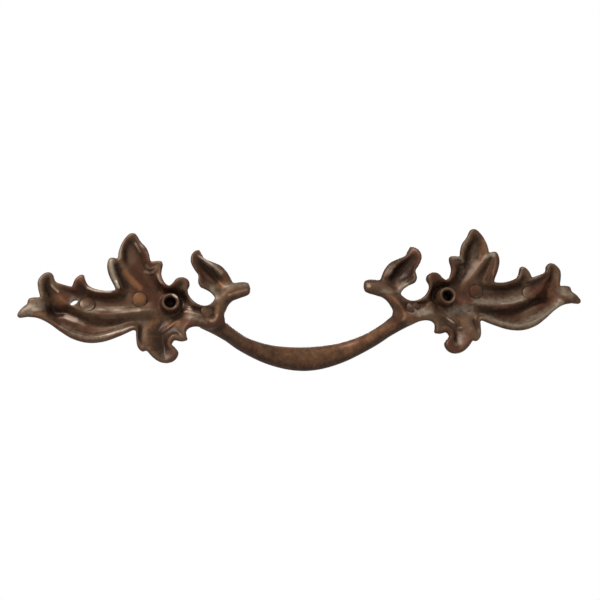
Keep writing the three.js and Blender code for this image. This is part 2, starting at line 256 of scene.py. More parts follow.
# The hollows behind the leaves: each point has u, v, depth under the rim and half the hollow's width.
HOLLOWS = (
    # lower leaf, from the hub along the belly and up into the large hook
    ((4.8, -5.6, 4.6, 2.8), (10, -5.7, 5.4, 2.9), (16, -6.3, 6.3, 3.4), (22, -7, 7, 4),
     (28, -7, 7.2, 4.3), (34, -5.4, 7, 4.1), (38.5, -2.7, 7.2, 3.7), (41.3, 0.6, 6.5, 3.2),
     (42.8, 4, 5, 2.8), (43.2, 7.5, 3.8, 2.4), (42.6, 10, 2, 1.7)),
    # upper band, from the hub to the root of the hooks
    ((6, 2.6, 5.2, 3.6), (12, 2.2, 4.8, 4), (19, 2.1, 5, 4.2), (24, 2.1, 5.2, 4.2), (29, 2.6, 5, 3.8),
     (33, 3.8, 4, 2.8), (37, 5.8, 2.6, 1.9)),
    # small hook
    ((29.8, 4, 4.4, 2.4), (31.2, 7.2, 3, 1.8), (31.2, 9.4, 1.5, 1.2)),
    # top leaf
    ((4.6, 3.4, 5, 3), (7.8, 8.8, 5.6, 3.3), (10.6, 13, 6.2, 3.8), (12.4, 17.2, 6, 3.9),
     (13.1, 20.6, 5, 3.4), (12.8, 23.4, 3, 2.2)),
    # outer top leaf
    ((13.2, 4.2, 4.6, 2.2), (15.8, 7, 4.6, 2.3), (17.4, 10.6, 4.6, 2.4), (18.6, 13.4, 3.8, 2.1),
     (19.4, 15.2, 2, 1.4)),
    # inner top lobe
    ((3.4, 5, 4.4, 2.2), (4.4, 8.4, 4.4, 2.2), (4.9, 11.6, 4, 2.2), (4.6, 13.8, 2, 1.5)),
    # hub lobe
    ((-0.6, 2, 5.4, 3.2), (-2, 5, 4, 2.3), (-4.2, 7, 2.6, 1.8)),
    # hub around the boss
    ((-1, -1.2, 6.2, 4.6), (3, 0.2, 6, 4.4)),
    # bottom lobe
    ((1.6, -4, 6, 3.8), (3, -9, 6.2, 4.1), (3.4, -13.5, 5.6, 3.9), (2.7, -17, 4.4, 3.1),
     (2, -19.2, 2.4, 2)),
    # outer bottom lobe
    ((8.8, -7, 4.4, 2.2), (10.1, -10.5, 4.2, 1.9), (10.4, -13.2, 3.2, 1.6), (10.2, -15.2, 1.8, 1.2)),
    # inner bottom lobe
    ((0, -7.5, 4.4, 2.6), (-2.4, -10.3, 3.6, 2.2), (-4, -12.3, 2, 1.4)),
    # neck, up to the disc at its end
    ((-4, -1.2, 5, 3), (-8.4, -2.2, 3.8, 2.9), (-12.8, -3.3, 2.9, 3.2)),
    # bud
    ((-18.6, 6.6, 2.6, 2), (-17, 9.6, 4.6, 3.4), (-13.4, 12.6, 4.8, 3.7), (-10.4, 15.8, 3.6, 2.6),
     (-10.2, 18.4, 1.8, 1.5)),
)

# Crests and troughs on the back: each point has u, v and its depth under the rim, negative above it.
LEVELS = (
    # crest of the long ridge, out along the inner side of the large hook
    ((3.6, -2.8, 3.4), (8.4, -2.4, 2.3), (13.5, -2.8, 1.7), (18, -3.3, 1.4), (22, -3.6, 1.2),
     (26, -3.2, 1.1), (30, -2.1, 1), (34, -0.3, 1), (37, 1.6, 1.1), (38.4, 4, 1.2), (39.2, 6.6, 0.8),
     (40.6, 9, 0.4)),
    # floor above it, and the trough under the upper rim
    ((7.5, 1.2, 4), (11.8, -0.4, 3.7), (16.5, -0.5, 3.4), (21.7, -0.7, 3.3), (26, -0.3, 3.1),
     (29, 0.4, 2.8), (31.6, 1.4, 2.7)),
    ((14.5, 4.4, 3.8), (17.5, 2.6, 3.7), (21, 2, 3.6), (25.4, 2.3, 3.5), (29, 3.2, 3.1), (32, 4, 2.7),
     (34.6, 4.7, 2), (37, 5.8, 1.3), (38.2, 7, 0.6)),
    # foot of the long ridge, down to the pit beside the flared tip
    ((5, -5, 4), (10, -5.6, 3.6), (14.5, -6.3, 3.6), (19, -7, 3.9), (23.7, -7.4, 4.1), (28, -6.6, 4.1),
     (31, -5, 3.9), (34, -3.2, 3.9), (37, -2, 4.5), (39.2, -2.2, 5.2), (40.7, -1.6, 5.4)),
    # swelling beyond it, and the lower leaf's floor and inner rim
    ((28.6, -7.4, 3.8), (31, -6.3, 3.2), (33.4, -5.5, 2.7), (36, -4.5, 2.4), (38.4, -3.6, 2.8)),
    ((14, -7, 2), (18.8, -8.1, 3.2), (23.2, -9.2, 3.3), (27.8, -9.7, 3.3), (32.6, -8.3, 3),
     (37.8, -5.7, 2.6), (42, -3.7, 1.9)),
    ((14.4, -7.9, 0.9), (18.5, -9.6, 0.7), (23, -11.2, 0.6), (28, -11.7, 0.6), (33, -10.1, 0.6),
     (38.5, -7.1, 0.6), (44.5, -4, 0.5)),
    # large hook
    ((41.9, 9.8, 0.9), (42.4, 7.6, 1.9), (42, 5.4, 2.6), (41.2, 3, 3.2), (40.9, 0.4, 4.2),
     (40.7, -1.6, 5.4)),
    # flared tip
    ((51.4, -2.9, -0.2), (48.6, -1.6, -0.7), (46, -1, -0.5), (44.2, -0.8, 1)),
    # small hook
    ((31.3, 9.6, 0.1), (31, 8, 0.5), (30.6, 6.2, 1.9), (30.2, 4.4, 2.9)),
    # outer top leaf: crest of its rim and its trough
    ((20, 15, -0.5), (19.9, 12.6, -0.6), (19.2, 9.8, -0.5), (18, 7.2, -0.3)),
    ((18.6, 14.4, 1.2), (18, 12.2, 2.1), (16.8, 9.6, 2.7), (15.6, 7, 3.3), (14.6, 5, 3.6)),
    # long fold between the two top leaves
    ((17.2, 15.4, 0.3), (16, 13.6, 0.6), (14.2, 11.2, 1), (12.4, 8.8, 1.5), (10.4, 6.6, 2.1),
     (8.4, 4.6, 2.9), (6.4, 2.8, 3.7)),
    # top leaf: outer trough, middle and inner trough
    ((14.2, 22, 1.6), (15, 19.4, 2.5), (15, 16.8, 2.7), (14.2, 14.6, 2.6)),
    ((13.6, 21, 2.1), (13.2, 18, 2.7), (12.2, 15, 2.9), (10.6, 12, 3.2), (8.4, 8.6, 3.6), (6, 5.4, 4)),
    ((12.4, 22.6, 1.7), (11.4, 20, 2.8), (10.6, 17.4, 3.2), (9.8, 14.6, 3.4), (8.6, 11.8, 3.6)),
    # inner top lobe
    ((4, 13.8, 0.8), (6, 13.6, 1.2), (7.6, 14.2, 1)),
    ((6.4, 11.6, 2.6), (6.2, 9, 3.6), (5, 6.6, 4.2), (3.4, 4.8, 4.6)),
    # hub lobe
    ((-4.4, 7.4, 0.5), (-3.2, 5.6, 1.4), (-2.4, 4.4, 2.8)),
    # hub around the boss, deepest beside the neck
    ((4.4, 0, 4), (3.4, 3.2, 4.1), (0, 4.4, 4), (-3.4, 3.2, 4.4), (-5, 1.4, 4.7), (-4.6, -1.2, 4),
     (-2.4, -4, 3.6), (1, -4.8, 4), (4, -2.9, 3.6)),
    # neck: its raised edge, the broad band below it and the tray
    ((-4.2, -3.1, 1.5), (-7.6, -3.9, 0.5), (-11, -5, 0.3), (-13.6, -6.2, 0), (-15.3, -6, -0.2),
     (-16.6, -4, -0.2), (-16.9, -1.4, -0.1), (-17.6, 0.8, 0)),
    ((-6.6, -6.4, 0), (-9.8, -6.9, -0.2), (-13, -7.9, -0.3)),
    ((-7.6, -2, 3), (-10, -2.2, 2.4), (-12.8, -2.6, 2.1), (-14.6, -2.8, 1.9)),
    # bottom lobe, the fold beside it and the outer bottom lobe
    ((3, -6.4, 3.9), (3.4, -10, 3.3), (3.2, -13.4, 2.8), (2.4, -15.4, 2.5), (3, -17.8, 1.6),
     (2.4, -19.8, 0.6)),
    ((8, -8.4, 2.3), (8.4, -11.2, 1.7), (8.8, -14, 1), (8.8, -15.8, 0.3)),
    ((10.6, -7.6, 2.6), (10.9, -10.4, 2.3), (10.9, -13, 1.5), (10.6, -15.2, 0.5)),
    # inner bottom lobe
    ((-3.8, -12.4, 0.2), (-2, -10.2, 1.5), (-0.6, -8.2, 2.6), (0.6, -6.2, 3.8)),
    # bud: its outer crest, its trough and its inner side
    ((-10.6, 18.2, 0), (-13, 16.2, -0.4), (-15.6, 14.6, -0.8), (-18, 12.4, -0.9), (-20, 9.8, -0.7),
     (-21.2, 7.6, -0.3)),
    ((-10.6, 16.4, 1), (-13.4, 13.6, 2.3), (-16.4, 10.8, 2.6), (-18.6, 8.2, 1.7), (-20, 6, 0.4)),
    ((-9.4, 14.8, 0.6), (-11, 12.4, 1.3), (-12.6, 9.6, 1.7), (-13.8, 7.2, 1.1), (-15.6, 5.4, 0.2)),
)

# Fine folds on the back: height, half width and course. A negative height is a crease.
FOLDS = (
    # lines along the lower leaf's rim
    (0.5, 0.45, ((44.5, -3.6), (40.5, -5.9), (36.5, -8.6), (32, -10.6), (27.6, -11.4), (22.8, -10.8),
                 (18, -9), (14, -7.4))),
    (0.45, 0.45, ((36.5, -9.6), (31.4, -12), (27.5, -12.4), (22.9, -11.9))),
    # lines above the lens-shaped dark wall
    (0.4, 0.4, ((17.4, -5), (20, -4.9), (23, -4.9), (26, -4.3))),
    # top leaf
    (0.7, 0.5, ((12.6, 23.2), (11.4, 20.9), (10.2, 18.8), (9.4, 16.6))),
    (0.4, 0.5, ((10.8, 22), (9.4, 19.4), (8.6, 16.6))),
    # inner top lobe
    (0.55, 0.42, ((8.6, 14.4), (7.5, 12.9), (5.7, 12.8), (4.1, 13.6))),
    (0.6, 0.45, ((9, 12.6), (7.8, 11.4), (6.3, 11.3), (4.7, 12.4))),
    (0.5, 0.6, ((4.8, 11.6), (4.5, 9.6), (3.8, 7.6), (2.6, 6.2))),
    # foot of the outer top leaf
    (0.6, 0.4, ((19, 8.4), (18, 6.6), (17.2, 5.2))),
    (0.5, 0.4, ((17.2, 7.6), (16.2, 5.8))),
    # large and small hooks
    (0.5, 0.6, ((41.8, 8.2), (40.6, 6.4), (39.2, 5), (37.6, 3.9))),
    (0.5, 0.6, ((32.6, 7.6), (33, 5.8), (32.4, 4.6))),
    # bottom lobes
    (0.6, 0.45, ((-3.4, -5.2), (0.2, -8), (2.4, -9.6), (5, -11.4))),
    (0.5, 0.4, ((-0.6, -5.8), (2.6, -8), (4.8, -10.6))),
    (0.4, 0.35, ((3, -12), (6.6, -11.7))),
    (0.4, 0.5, ((-3.6, -11.6), (-0.8, -11.5), (1.2, -12.9), (1.4, -15.2), (0.4, -16.4))),
    # web beside the boss
    (1, 0.6, ((-3.6, -1.4), (-6.2, -2.2), (-8.8, -3))),
    # bud
    (0.4, 0.5, ((-10.4, 9.8), (-13, 8), (-15.6, 6.6))),
    (0.35, 0.5, ((-11.4, 12.6), (-14, 10.4), (-16.4, 8.2))),
)

# Joints of the branches where they run into each other: the side of the neck, as u, v, radius and strength
SOFT_PLACES = ((-11.5, -7.2, 2.6, 1), (-14.5, -7.4, 3, 1), (-17.2, -8, 3.4, 1), (-21.4, -9.4, 3.4, 1),
               (-17.6, -3.4, 2.6, 0.8), (-19, 2, 3.2, 1), (-21.6, 5.2, 3, 1), (-19.5, 6.5, 2.2, 1))

# Strokes of patina and painted light in the view from the front: radius, strength and course in X and Z.
# Grey bloom, with painted light where the leaves' upper slopes face the light.
BLOOM_AND_LIGHT_STROKES = (
    (1.3, 0.9, ((71.3, 15), (71, 12.5), (70.2, 9.6), (69, 6.8))),
    (1.5, 0.5, ((96.6, 1.2), (101.4, -1.6))),
    (0.9, 0.5, ((95.2, 9.6), (95.9, 6.4), (95, 3.6))),
    (0.9, 0.6, ((67.8, 19.6), (68.2, 16.4))),
    (0.5, 0.5, ((59.2, 14), (58.2, 12.8), (56.5, 12.8), (55, 13.6))),
    (0.5, 0.5, ((59.6, 12.4), (58.4, 11.2), (57, 11.2), (55.6, 12.4))),
    (1.5, 0.5, ((45, -4.8), (41.6, -5.8), (38.8, -6.8))),
    (1.3, 0.8, ((37, 15.2), (34.6, 14), (32.4, 12))),
    (1.3, 0.8, ((34.8, 6.4), (35.8, 5.2), (34.2, 2.6))),
    (1.6, 0.5, ((30.6, 6.6), (26.6, 7.8), (23, 7.4))),
    (1.7, 0.8, ((53.8, -18),)),
    # Grey bloom and painted light on the right plate's ridge slope and belly band
    (1.7, 0.75, ((-62.5, -1.7), (-70, -2.3), (-77, -1.8), (-80.6, -1))),
    (1.7, 0.75, ((-65, -7.2), (-70, -9.8), (-76, -11.4), (-82, -10.6), (-90, -6.6), (-95, -3.8))),
    (2.2, 0.7, ((-52.4, -5.6), (-57, -4.6), (-60.4, -5))),
    (0.9, 0.6, ((-84, 5.6), (-87.6, 7))),
    (2, 0.7, ((-96, 1.2), (-99, -1))),
    (2.2, 0.7, ((95.6, 0.2), (101, -2.2))),
    (1.3, 0.6, ((88, -7.4), (83.6, -9.8), (78.4, -11.3), (73, -10.4), (68, -8.2))),
    (1.4, 0.5, ((84.4, 2.4), (80.4, 0.2))),
    (1, 0.9, ((-70, 15.4), (-67.6, 14.8))),
    (1.2, 0.5, ((-64.6, 17), (-61, 12.6), (-57.6, 8.4))),
    (0.9, 0.4, ((-61.4, 22), (-59.4, 19))),
    (0.8, 0.9, ((-54.6, 14.4), (-57, 14.4), (-58.8, 13.4))),
    (1, 0.6, ((-33, 12.6), (-31, 10.6))),
    (1.5, 0.8, ((-35, 6), (-36.6, 5.2), (-34, 3))),
    (1, 0.6, ((-27.6, 3.6), (-31, 3))),
    (1.4, 0.9, ((-44, -5.4), (-40.4, -6.2))),
    (1.6, 0.6, ((-53.6, -17.6), (-55, -14.8))),
)
# Orange and ochre metal, which along the necks' crests and at the right sprig's end also tints painted
# highlights
WARM_STROKES = (
    (1.3, 0.9, ((66.8, 11.6), (64, 8.4), (61.4, 5.8))),
    (2.4, 1.2, ((61.6, 1.9),)),
    (2.2, 0.5, ((82, -7),)),
    (1.2, 0.7, ((94.6, -3), (99, -3.2))),
    (2, 0.7, ((90, 3.4), (88.4, 1))),
    (1.5, 0.6, ((82, 9.2),)),
    (1.4, 0.6, ((56.4, 14.8),)),
    (1.2, 0.5, ((54.6, 9.6),)),
    # Ochre metal and a painted highlight along the left neck's raised edge
    (0.9, 0.9, ((38, -6.4), (35.4, -6.3), (34.2, -4), (34, -1.4))),
    (1.5, 1, ((31.4, 7.8), (33, 6.8))),
    (0.8, 0.9, ((29.8, 3), (26.6, 4), (23, 5))),
    (1.8, 0.9, ((56, -5.4), (57.4, -8))),
    (1.6, 0.9, ((48.6, -7), (52, -8))),
    (2, 0.7, ((58.6, -13), (56, -17))),
    (2, 0.6, ((-91.4, 3.6), (-92.6, 0.6))),
    (1.3, 0.6, ((-40.8, 19),)),
    # Ochre metal and painted highlights at the right sprig's end and along the right neck's raised edge
    (0.9, 1, ((-22.6, 5.6),)),
    (0.8, 0.9, ((-29.6, 1.8), (-33, -1.4), (-34.8, -4.8), (-34.6, -7.8), (-31, -10.8), (-27.4, -13.2))),
    (1.7, 0.6, ((-59.6, -12),)),
    (1.6, 0.7, ((-53.6, -6.8), (-56, -8.8))),
    (1.2, 0.6, ((-66.4, 21), (-66.7, 17.8), (-66.4, 14.5))),
)
# Dark patina lies in the troughs; painted shade lies on the lower walls and around the bosses.
DARK_STROKES = (
    (0.9, 0.5, ((93, -5.2), (88.6, -8.4), (84, -11.2), (79, -13), (74, -13.2), (68, -11.4))),
    (1.2, 0.35, ((58, -4), (66, -4.4), (74, -4.9), (79, -4.2))),
    (2.1, 1.2, ((92.2, -1.4), (89.8, -2.6))),
    # Painted shade around each boss
    (3.2, 0.6, ((50.8, 0),)),
    (3.2, 0.5, ((-50.8, 0),)),
    (0.5, 0.7, ((87, -8.4), (82.4, -11), (78.2, -11.9), (73.6, -11.4))),
    (6, 0.85, ((54, -10), (55, -15))),
    (6, 0.2, ((36, 12),)),
    (5, 1.1, ((-34.5, 13), (-38, 9.5))),
    (5, 0.7, ((-39, -4), (-34, 0))),
    (6, 0.5, ((-61, 17), (-58, 9))),
    (1.1, 0.8, ((93, 9), (93.7, 6.6), (92.8, 4.4))),
    (1.3, 0.8, ((81.6, 6.4), (81, 4.8))),
    (1, 0.6, ((67, 3.4), (74, 2.7), (79, 3.6))),
    (1, 0.8, ((64.4, 22.4),)),
    (0.9, 0.5, ((66.4, 19), (66.5, 16))),
    (1.3, 0.6, ((69.2, 13.6), (68.2, 10.6), (66, 7))),
    (1.5, 1, ((45.4, 2.2), (45.8, 3.6))),
    (1.2, 0.6, ((41.4, -1.4), (37.6, -1), (35.8, -2), (36, -4.6))),
    (1.2, 0.7, ((30.6, 0.4), (27.4, 2), (23.6, 3.2))),
    (1.2, 0.7, ((39.6, 15), (36.6, 12.2), (34, 9.6))),
    (3, 0.6, ((51.6, -8.6), (54.4, -12.6), (54, -15.6))),
    (1.6, 0.7, ((49.4, 5.4), (47.4, 6.6))),
    (1.4, 0.6, ((61.6, -8), (62, -12.6))),
    (1.6, 0.4, ((44.6, -9.6), (47, -12.6))),
    (1, 0.5, ((-66, 0.8), (-74, 1))),
    (1.3, 0.8, ((-66.4, 3.8), (-74, 3), (-80, 4.2))),
    (1.6, 0.8, ((-64.4, -4.9), (-70, -5.6), (-76, -6), (-82, -3.8), (-88, -1.2))),
    (1.2, 0.8, ((-85.4, 3.8), (-88, 5.2), (-90.6, 7.6))),
    (1, 0.8, ((-96.2, 8.4), (-95.8, 4))),
    (1.3, 0.6, ((-102, -2.6),)),
    (1, 0.5, ((-66.8, 11), (-63.4, 7.4))),
    (1.2, 0.7, ((-64.2, 21.8), (-61.4, 18), (-60, 14))),
    (1.2, 0.8, ((-56.6, 11.4), (-56, 8.6))),
    (1.8, 1, ((-40, 15.4), (-37, 12.6), (-33.6, 9.8), (-32.4, 7.8))),
    (1.4, 0.4, ((-26, 8.2),)),
    (1.8, 0.6, ((-49.4, -8.6), (-51, -12))),
    (1.1, 0.7, ((-61, -9.4), (-61.8, -12.6))),
    (0.8, 0.7, ((-53, -16.2),)),
    (2.2, 0.4, ((-54, -10.6), (-55.6, -13.6))),
    (1.6, 0.9, ((-45.4, 2.2), (-45.8, 4))),
    (1.2, 0.6, ((-41.4, -1.6), (-37.8, -1.4), (-36, -3), (-37, -5.4))),
    (1.2, 0.8, ((-30.6, 8.4), (-27, 8), (-23, 7.4))),
)
# Metal rubbed bright, with painted highlights and glints on the crests
RUB_AND_HIGHLIGHT_STROKES = (
    (0.8, 0.6, ((68.6, 14.2), (67.6, 12.6))),
    (1.1, 0.9, ((62, -1.7), (66, -1.8), (70, -2), (76, -1.6), (80, -1.7))),
    (0.7, 0.5, ((62, -1.7), (58, -1.7), (54.6, -2.2))),
    (1.5, 0.9, ((67, -1), (72, -1.2), (77.4, -0.8))),
    # Painted highlight on the lower leaf's shoulder
    (1.3, 1.3, ((87.4, -3.1), (85.4, -4), (83.6, -4.7))),
    (0.9, 0.9, ((83.2, -4.8), (80, -5.6))),
    (0.9, 0.7, ((87, -6.9), (83.5, -9.4), (80, -11), (76, -11.2), (70, -9.6), (65, -7.6))),
    (0.8, 0.9, ((94.4, -1.3), (97.8, -1.7))),
    (0.8, 0.6, ((92.6, 7.8), (91.2, 6.4), (89.6, 5))),
    (0.6, 0.6, ((71.6, 4.6), (76, 4.6), (79.4, 5.8))),
    (0.7, 1, ((63.3, 23), (62.2, 20.8), (61.2, 18.8))),
    (0.6, 0.6, ((55.6, 11), (55, 8.4), (53.6, 6.4))),
    (0.7, 1, ((69.6, 7.6), (68.6, 6))),
    (0.7, 1, ((45.2, -0.8), (43.4, -2.2), (41.2, -1.9))),
    (0.7, 0.6, ((47, -2.7), (43.4, -3.6), (40, -4.8))),
    (0.7, 0.9, ((36.8, -6.6), (35.2, -6), (34.3, -4.2))),
    (0.6, 0.9, ((40.2, 17.6), (37.6, 16.4), (35.4, 14.8))),
    (0.6, 0.7, ((29.6, 3.1), (26.6, 4.1), (23, 5.1))),
    (0.7, 0.6, ((46.8, -11.4), (50.2, -11.6), (52.2, -13), (52.2, -15.2))),
    (0.6, 0.5, ((61, -9), (59.6, -11.4), (60, -14))),
    (1.2, 0.35, ((-65.4, 13.4), (-61.8, 9.2), (-58.4, 5.6), (-56.8, 3.4))),
    # Painted glint on the left boss's chamfer
    (0.6, 2.2, ((48.9, 1.9), (49.4, 2.3))),
    (1.6, 0.7, ((84, -4.8), (81, -6))),
    # Painted glints along the left plate's long ridge
    (0.5, 1.5, ((75.4, -1.4), (73.6, -1.6))),
    (0.5, 1.4, ((70.4, -1.9), (68.4, -1.9))),
    (0.6, 0.6, ((-72, -2.9), (-76, -2.8), (-80, -1.8))),
    (0.8, 0.5, ((-40.6, 13.2), (-38.8, 10.6))),
    (0.8, 1, ((-22.8, 5.6),)),
    (0.8, 0.8, ((-33.4, -2), (-35, -5.4), (-34.6, -7.6), (-31, -10.7), (-27.6, -13))),
    (0.6, 0.9, ((-50.6, -8), (-53.4, -9.9), (-55.6, -11.6))),
    (0.8, 0.5, ((-57.8, -10), (-59.6, -12.6))),
)

# Round pads: side, u, v and radius
DISC_PLACES = ((1, 10.8, 1.9, 2.5), (1, 28.9, 0.5, 2.5), (1, -13, -3.1, 2.2),
               (-1, 12.4, 2.1, 2.5), (-1, 32.8, 0.9, 2.5), (-1, -12.8, -3.4, 2.2))

# Grip course from its root to the middle: shares of the span, the drop and the projection
GRIP_HEEL = (-9, -4.5, -4.4)
GRIP_ROOT = (-14.7, -6.5, -8)
GRIP_COURSE = ((0.174, 0.29, 0.27), (0.311, 0.52, 0.55), (0.449, 0.69, 0.76), (0.587, 0.825, 0.885),
               (0.725, 0.92, 0.95), (0.862, 0.98, 0.987))

# Sprig course: u, v, y and its share of the full width
SPRIG_COURSE = ((-11.5, -6.6, -6.4, 0.8), (-15.2, -5.6, -7, 0.98), (-17.1, -2.2, -7.3, 0.98),
                (-18.8, 1.3, -7.8, 1.04), (-21.4, 4.1, -8.5, 1.12), (-24.2, 5.3, -8.9, 1.06),
                (-26.4, 5.8, -9.1, 0.98), (-27.9, 6, -9.2, 0.84), (-28.9, 6, -9.2, 0.62),
                (-29.5, 6, -9.2, 0.2))


# Curves and distances

def spline(points, spacing):
    """Points along a Catmull-Rom curve through the given points, about one spacing apart."""
    p = np.asarray(points, float)
    ends = np.vstack((2 * p[0] - p[1], p, 2 * p[-1] - p[-2]))
    run = []
    for a, b, c, d in zip(ends, ends[1:], ends[2:], ends[3:]):
        count = max(2, int(np.linalg.norm((c - b)[:2]) / spacing))
        t = (np.arange(count) / count)[:, None]
        run.append(0.5 * (2 * b + (c - a) * t + (2 * a - 5 * b + 4 * c - d) * t ** 2
                          + (3 * b - a - 3 * c + d) * t ** 3))
    run.append(p[-1:])
    return np.vstack(run)


def outline_points(spacing):
    return np.vstack([spline(stretch, spacing)[:-1] for stretch in OUTLINE])


def to_segments(at, starts, ends):
    """Distance from each place to each segment, and the share of the way along it."""
    run = ends - starts
    gap = at[:, None, :] - starts[None]
    share = np.clip((gap * run).sum(2) / (run * run).sum(1), 0, 1)
    return np.linalg.norm(gap - share[..., None] * run, axis=2), share


def in_batches(function, at, size=4000):
    return np.concatenate([function(at[i:i + size]) for i in range(0, len(at), size)])


def inside_outline(at, outline):
    """Distance inside the outline, negative outside it."""
    ends = np.roll(outline, -1, 0)

    def batch(p):
        distance = to_segments(p, outline, ends)[0].min(1)
        x, z = p[:, :1], p[:, 1:]
        spans = (outline[:, 1] > z) != (ends[:, 1] > z)
        rise = np.where(ends[:, 1] == outline[:, 1], 1, ends[:, 1] - outline[:, 1])
        left = x < outline[:, 0] + (z - outline[:, 1]) * (ends[:, 0] - outline[:, 0]) / rise
        inside = (spans & left).sum(1) % 2 == 1
        return np.where(inside, distance, -distance)

    return in_batches(batch, at)


def smooth_max(a, b, blend):
    near = np.clip(blend - np.abs(a - b), 0, None)
    return np.maximum(a, b) + near * near / (4 * blend)


def smooth_min(a, b, blend):
    return -smooth_max(-a, -b, blend)


def smooth_step(x, low, high):
    t = np.clip((x - low) / (high - low), 0, 1)
    return t * t * (3 - 2 * t)


def hollow_depth(at, widen, blend):
    """Depth of the leaves' hollows, and how far across its leaf each place is.

    It is 0 in the middle of a leaf and 1 at its side.
    """
    deepest = np.zeros(len(at))
    across = np.ones(len(at))
    for course in HOLLOWS:
        run = spline(course, CURVE_STEP)

        def batch(p, run=run):
            distance, share = to_segments(p, run[:-1, :2], run[1:, :2])
            depth = run[:-1, 2] + share * (run[1:, 2] - run[:-1, 2])
            half = run[:-1, 3] + share * (run[1:, 3] - run[:-1, 3]) + widen
            ratio = distance / half
            each = depth * (1 - ratio ** 2)
            best = each.argmax(1)
            rows = np.arange(len(p))
            return np.stack((each[rows, best], ratio[rows, best]), 1)

        found = in_batches(batch, at)
        across = np.where(found[:, 0] > deepest, found[:, 1], across)
        deepest = smooth_max(deepest, found[:, 0], blend)
    return deepest, across


def rim_level(at):
    along_neck = -at[:, 0] + BUD_LIFT * np.clip(at[:, 1], 0, None)
    return -RIM_SETBACK - NECK_SETBACK * smooth_step(along_neck, -NECK_START_U, -NECK_END_U)


def round_over(inside, radius):
    """How far a rounded edge falls away, for a distance inside the outline."""
    out = np.clip(radius - inside, 0, radius)
    return radius - np.sqrt(np.clip(radius ** 2 - out ** 2, 0, None))


def fold_relief(at):
    """Height that the fine folds add to the back, fading out at both ends of each fold."""
    relief = np.zeros(len(at))
    for height, half, course in FOLDS:
        run = spline(course, CURVE_STEP)
        count = len(run) - 1

        def batch(p, run=run, count=count, half=half):
            distance, share = to_segments(p, run[:-1], run[1:])
            best = distance.argmin(1)
            rows = np.arange(len(p))
            along = (best + share[rows, best]) / count
            fade = smooth_step(np.minimum(along, 1 - along), 0, FOLD_FADE)
            return fade * np.exp(-(distance[rows, best] / half) ** 2)

        relief += height * in_batches(batch, at)
    return relief


def spread_on_grid(samples, weight, low, step, shape):
    """Spreads values at places over the four grid nodes around each, as weighted totals and weights."""
    place = (samples[:, :2] - low) / step
    corner = place.astype(int)
    part = place - corner
    total = np.zeros(shape)
    weights = np.zeros(shape)
    for i in (0, 1):
        for j in (0, 1):
            share = weight * np.abs(1 - i - part[:, 0]) * np.abs(1 - j - part[:, 1])
            np.add.at(weights, (corner[:, 0] + i, corner[:, 1] + j), share)
            np.add.at(total, (corner[:, 0] + i, corner[:, 1] + j), share * samples[:, 2])
    return total, weights


def on_grid(field, low, step, at):
    """Values of a grid at places between its nodes."""
    place = np.clip((at - low) / step, 0, np.array(field.shape) - 1.001)
    i, j = place.astype(int).T
    s, t = (place - place.astype(int)).T
    return ((1 - s) * (1 - t) * field[i, j] + s * (1 - t) * field[i + 1, j]
            + (1 - s) * t * field[i, j + 1] + s * t * field[i + 1, j + 1])


def beside(field):
    """Sum of each node's four neighbours."""
    wide = np.pad(field, 1, mode="edge")
    return wide[2:, 1:-1] + wide[:-2, 1:-1] + wide[1:-1, 2:] + wide[1:-1, :-2]


@functools.lru_cache(maxsize=None)
def stretched_depth():
    """A skin stretched over the outline, the crown of the rim and the level lines, on a fine grid."""
    outline = outline_points(FINE_STEP)
    low = outline.min(0) - SKIN_MARGIN
    size = outline.max(0) + SKIN_MARGIN - low
    lines = [spline(course, FINE_STEP) for course in LEVELS]
    edge = np.column_stack((outline, np.zeros(len(outline))))
    field = np.zeros((2, 2))
    last = size.max()
    for step in SKIN_STEPS:
        shape = tuple((size / step).astype(int) + 1)
        grid = np.meshgrid(*(np.arange(n) for n in shape), indexing="ij")
        nodes = np.stack(grid, 2).reshape(-1, 2) * step + low
        inside = inside_outline(nodes, outline[::4])
        crown = nodes[np.abs(inside - RIM_CROWN_INSET) < CROWN_REACH * step]
        crown = np.column_stack((crown, np.full(len(crown), -RIM_CROWN)))
        total, weights = spread_on_grid(crown, CROWN_HOLD, low, step, shape)
        for samples in lines + [edge]:
            more, weight = spread_on_grid(samples, LINE_HOLD, low, step, shape)
            total += more
            weights += weight
        field = on_grid(field, low, last, nodes).reshape(shape)
        for _ in range(SKIN_PASSES):
            field = (beside(field) + total) / (4 + weights)
        last = step
    for _ in range(SKIN_SOFTENING):
        field = 0.5 * field + beside(field) / 8
    return field, low, last


def back_and_front(at, inside):
    """Levels of the plate's back and front, for places at a distance inside the outline."""
    level = rim_level(at)
    relief = fold_relief(at) * smooth_step(inside, *FOLD_INSET)
    back = level - round_over(inside, RIM_ROUND) - on_grid(*stretched_depth(), at) + relief
    back = smooth_min(back, np.full(len(at), -MOUNT_CLEARANCE), MOUNT_BLEND)
    swell, across = hollow_depth(at, RIM_THICKNESS / 3, LEAF_BLEND)
    edge_limit = EDGE_SLOPE * np.clip(inside + RIM_WIDTH / 4, 0, None)
    rise = CROWN_SHARE * smooth_min(swell, edge_limit, LEAF_BLEND)
    front = level - RIM_THICKNESS - rise + round_over(inside, FRONT_ROUND)
    wave = np.cos(2 * math.pi * FLUTE_COUNT * np.clip(across, 0, 1))
    flutes = FLUTE_HEIGHT * wave * smooth_step(swell, *FLUTE_START)
    return back, np.minimum(front + flutes, back - WALL_LEAST)


# Mesh making

def mesh_object(name, bm):
    mesh = bpy.data.meshes.new(name)
    bm.to_mesh(mesh)
    bm.free()
    made = bpy.data.objects.new(name, mesh)
    bpy.context.scene.collection.objects.link(made)
    return made


def positions(bm):
    return np.array([(v.co.x, v.co.z) for v in bm.verts])


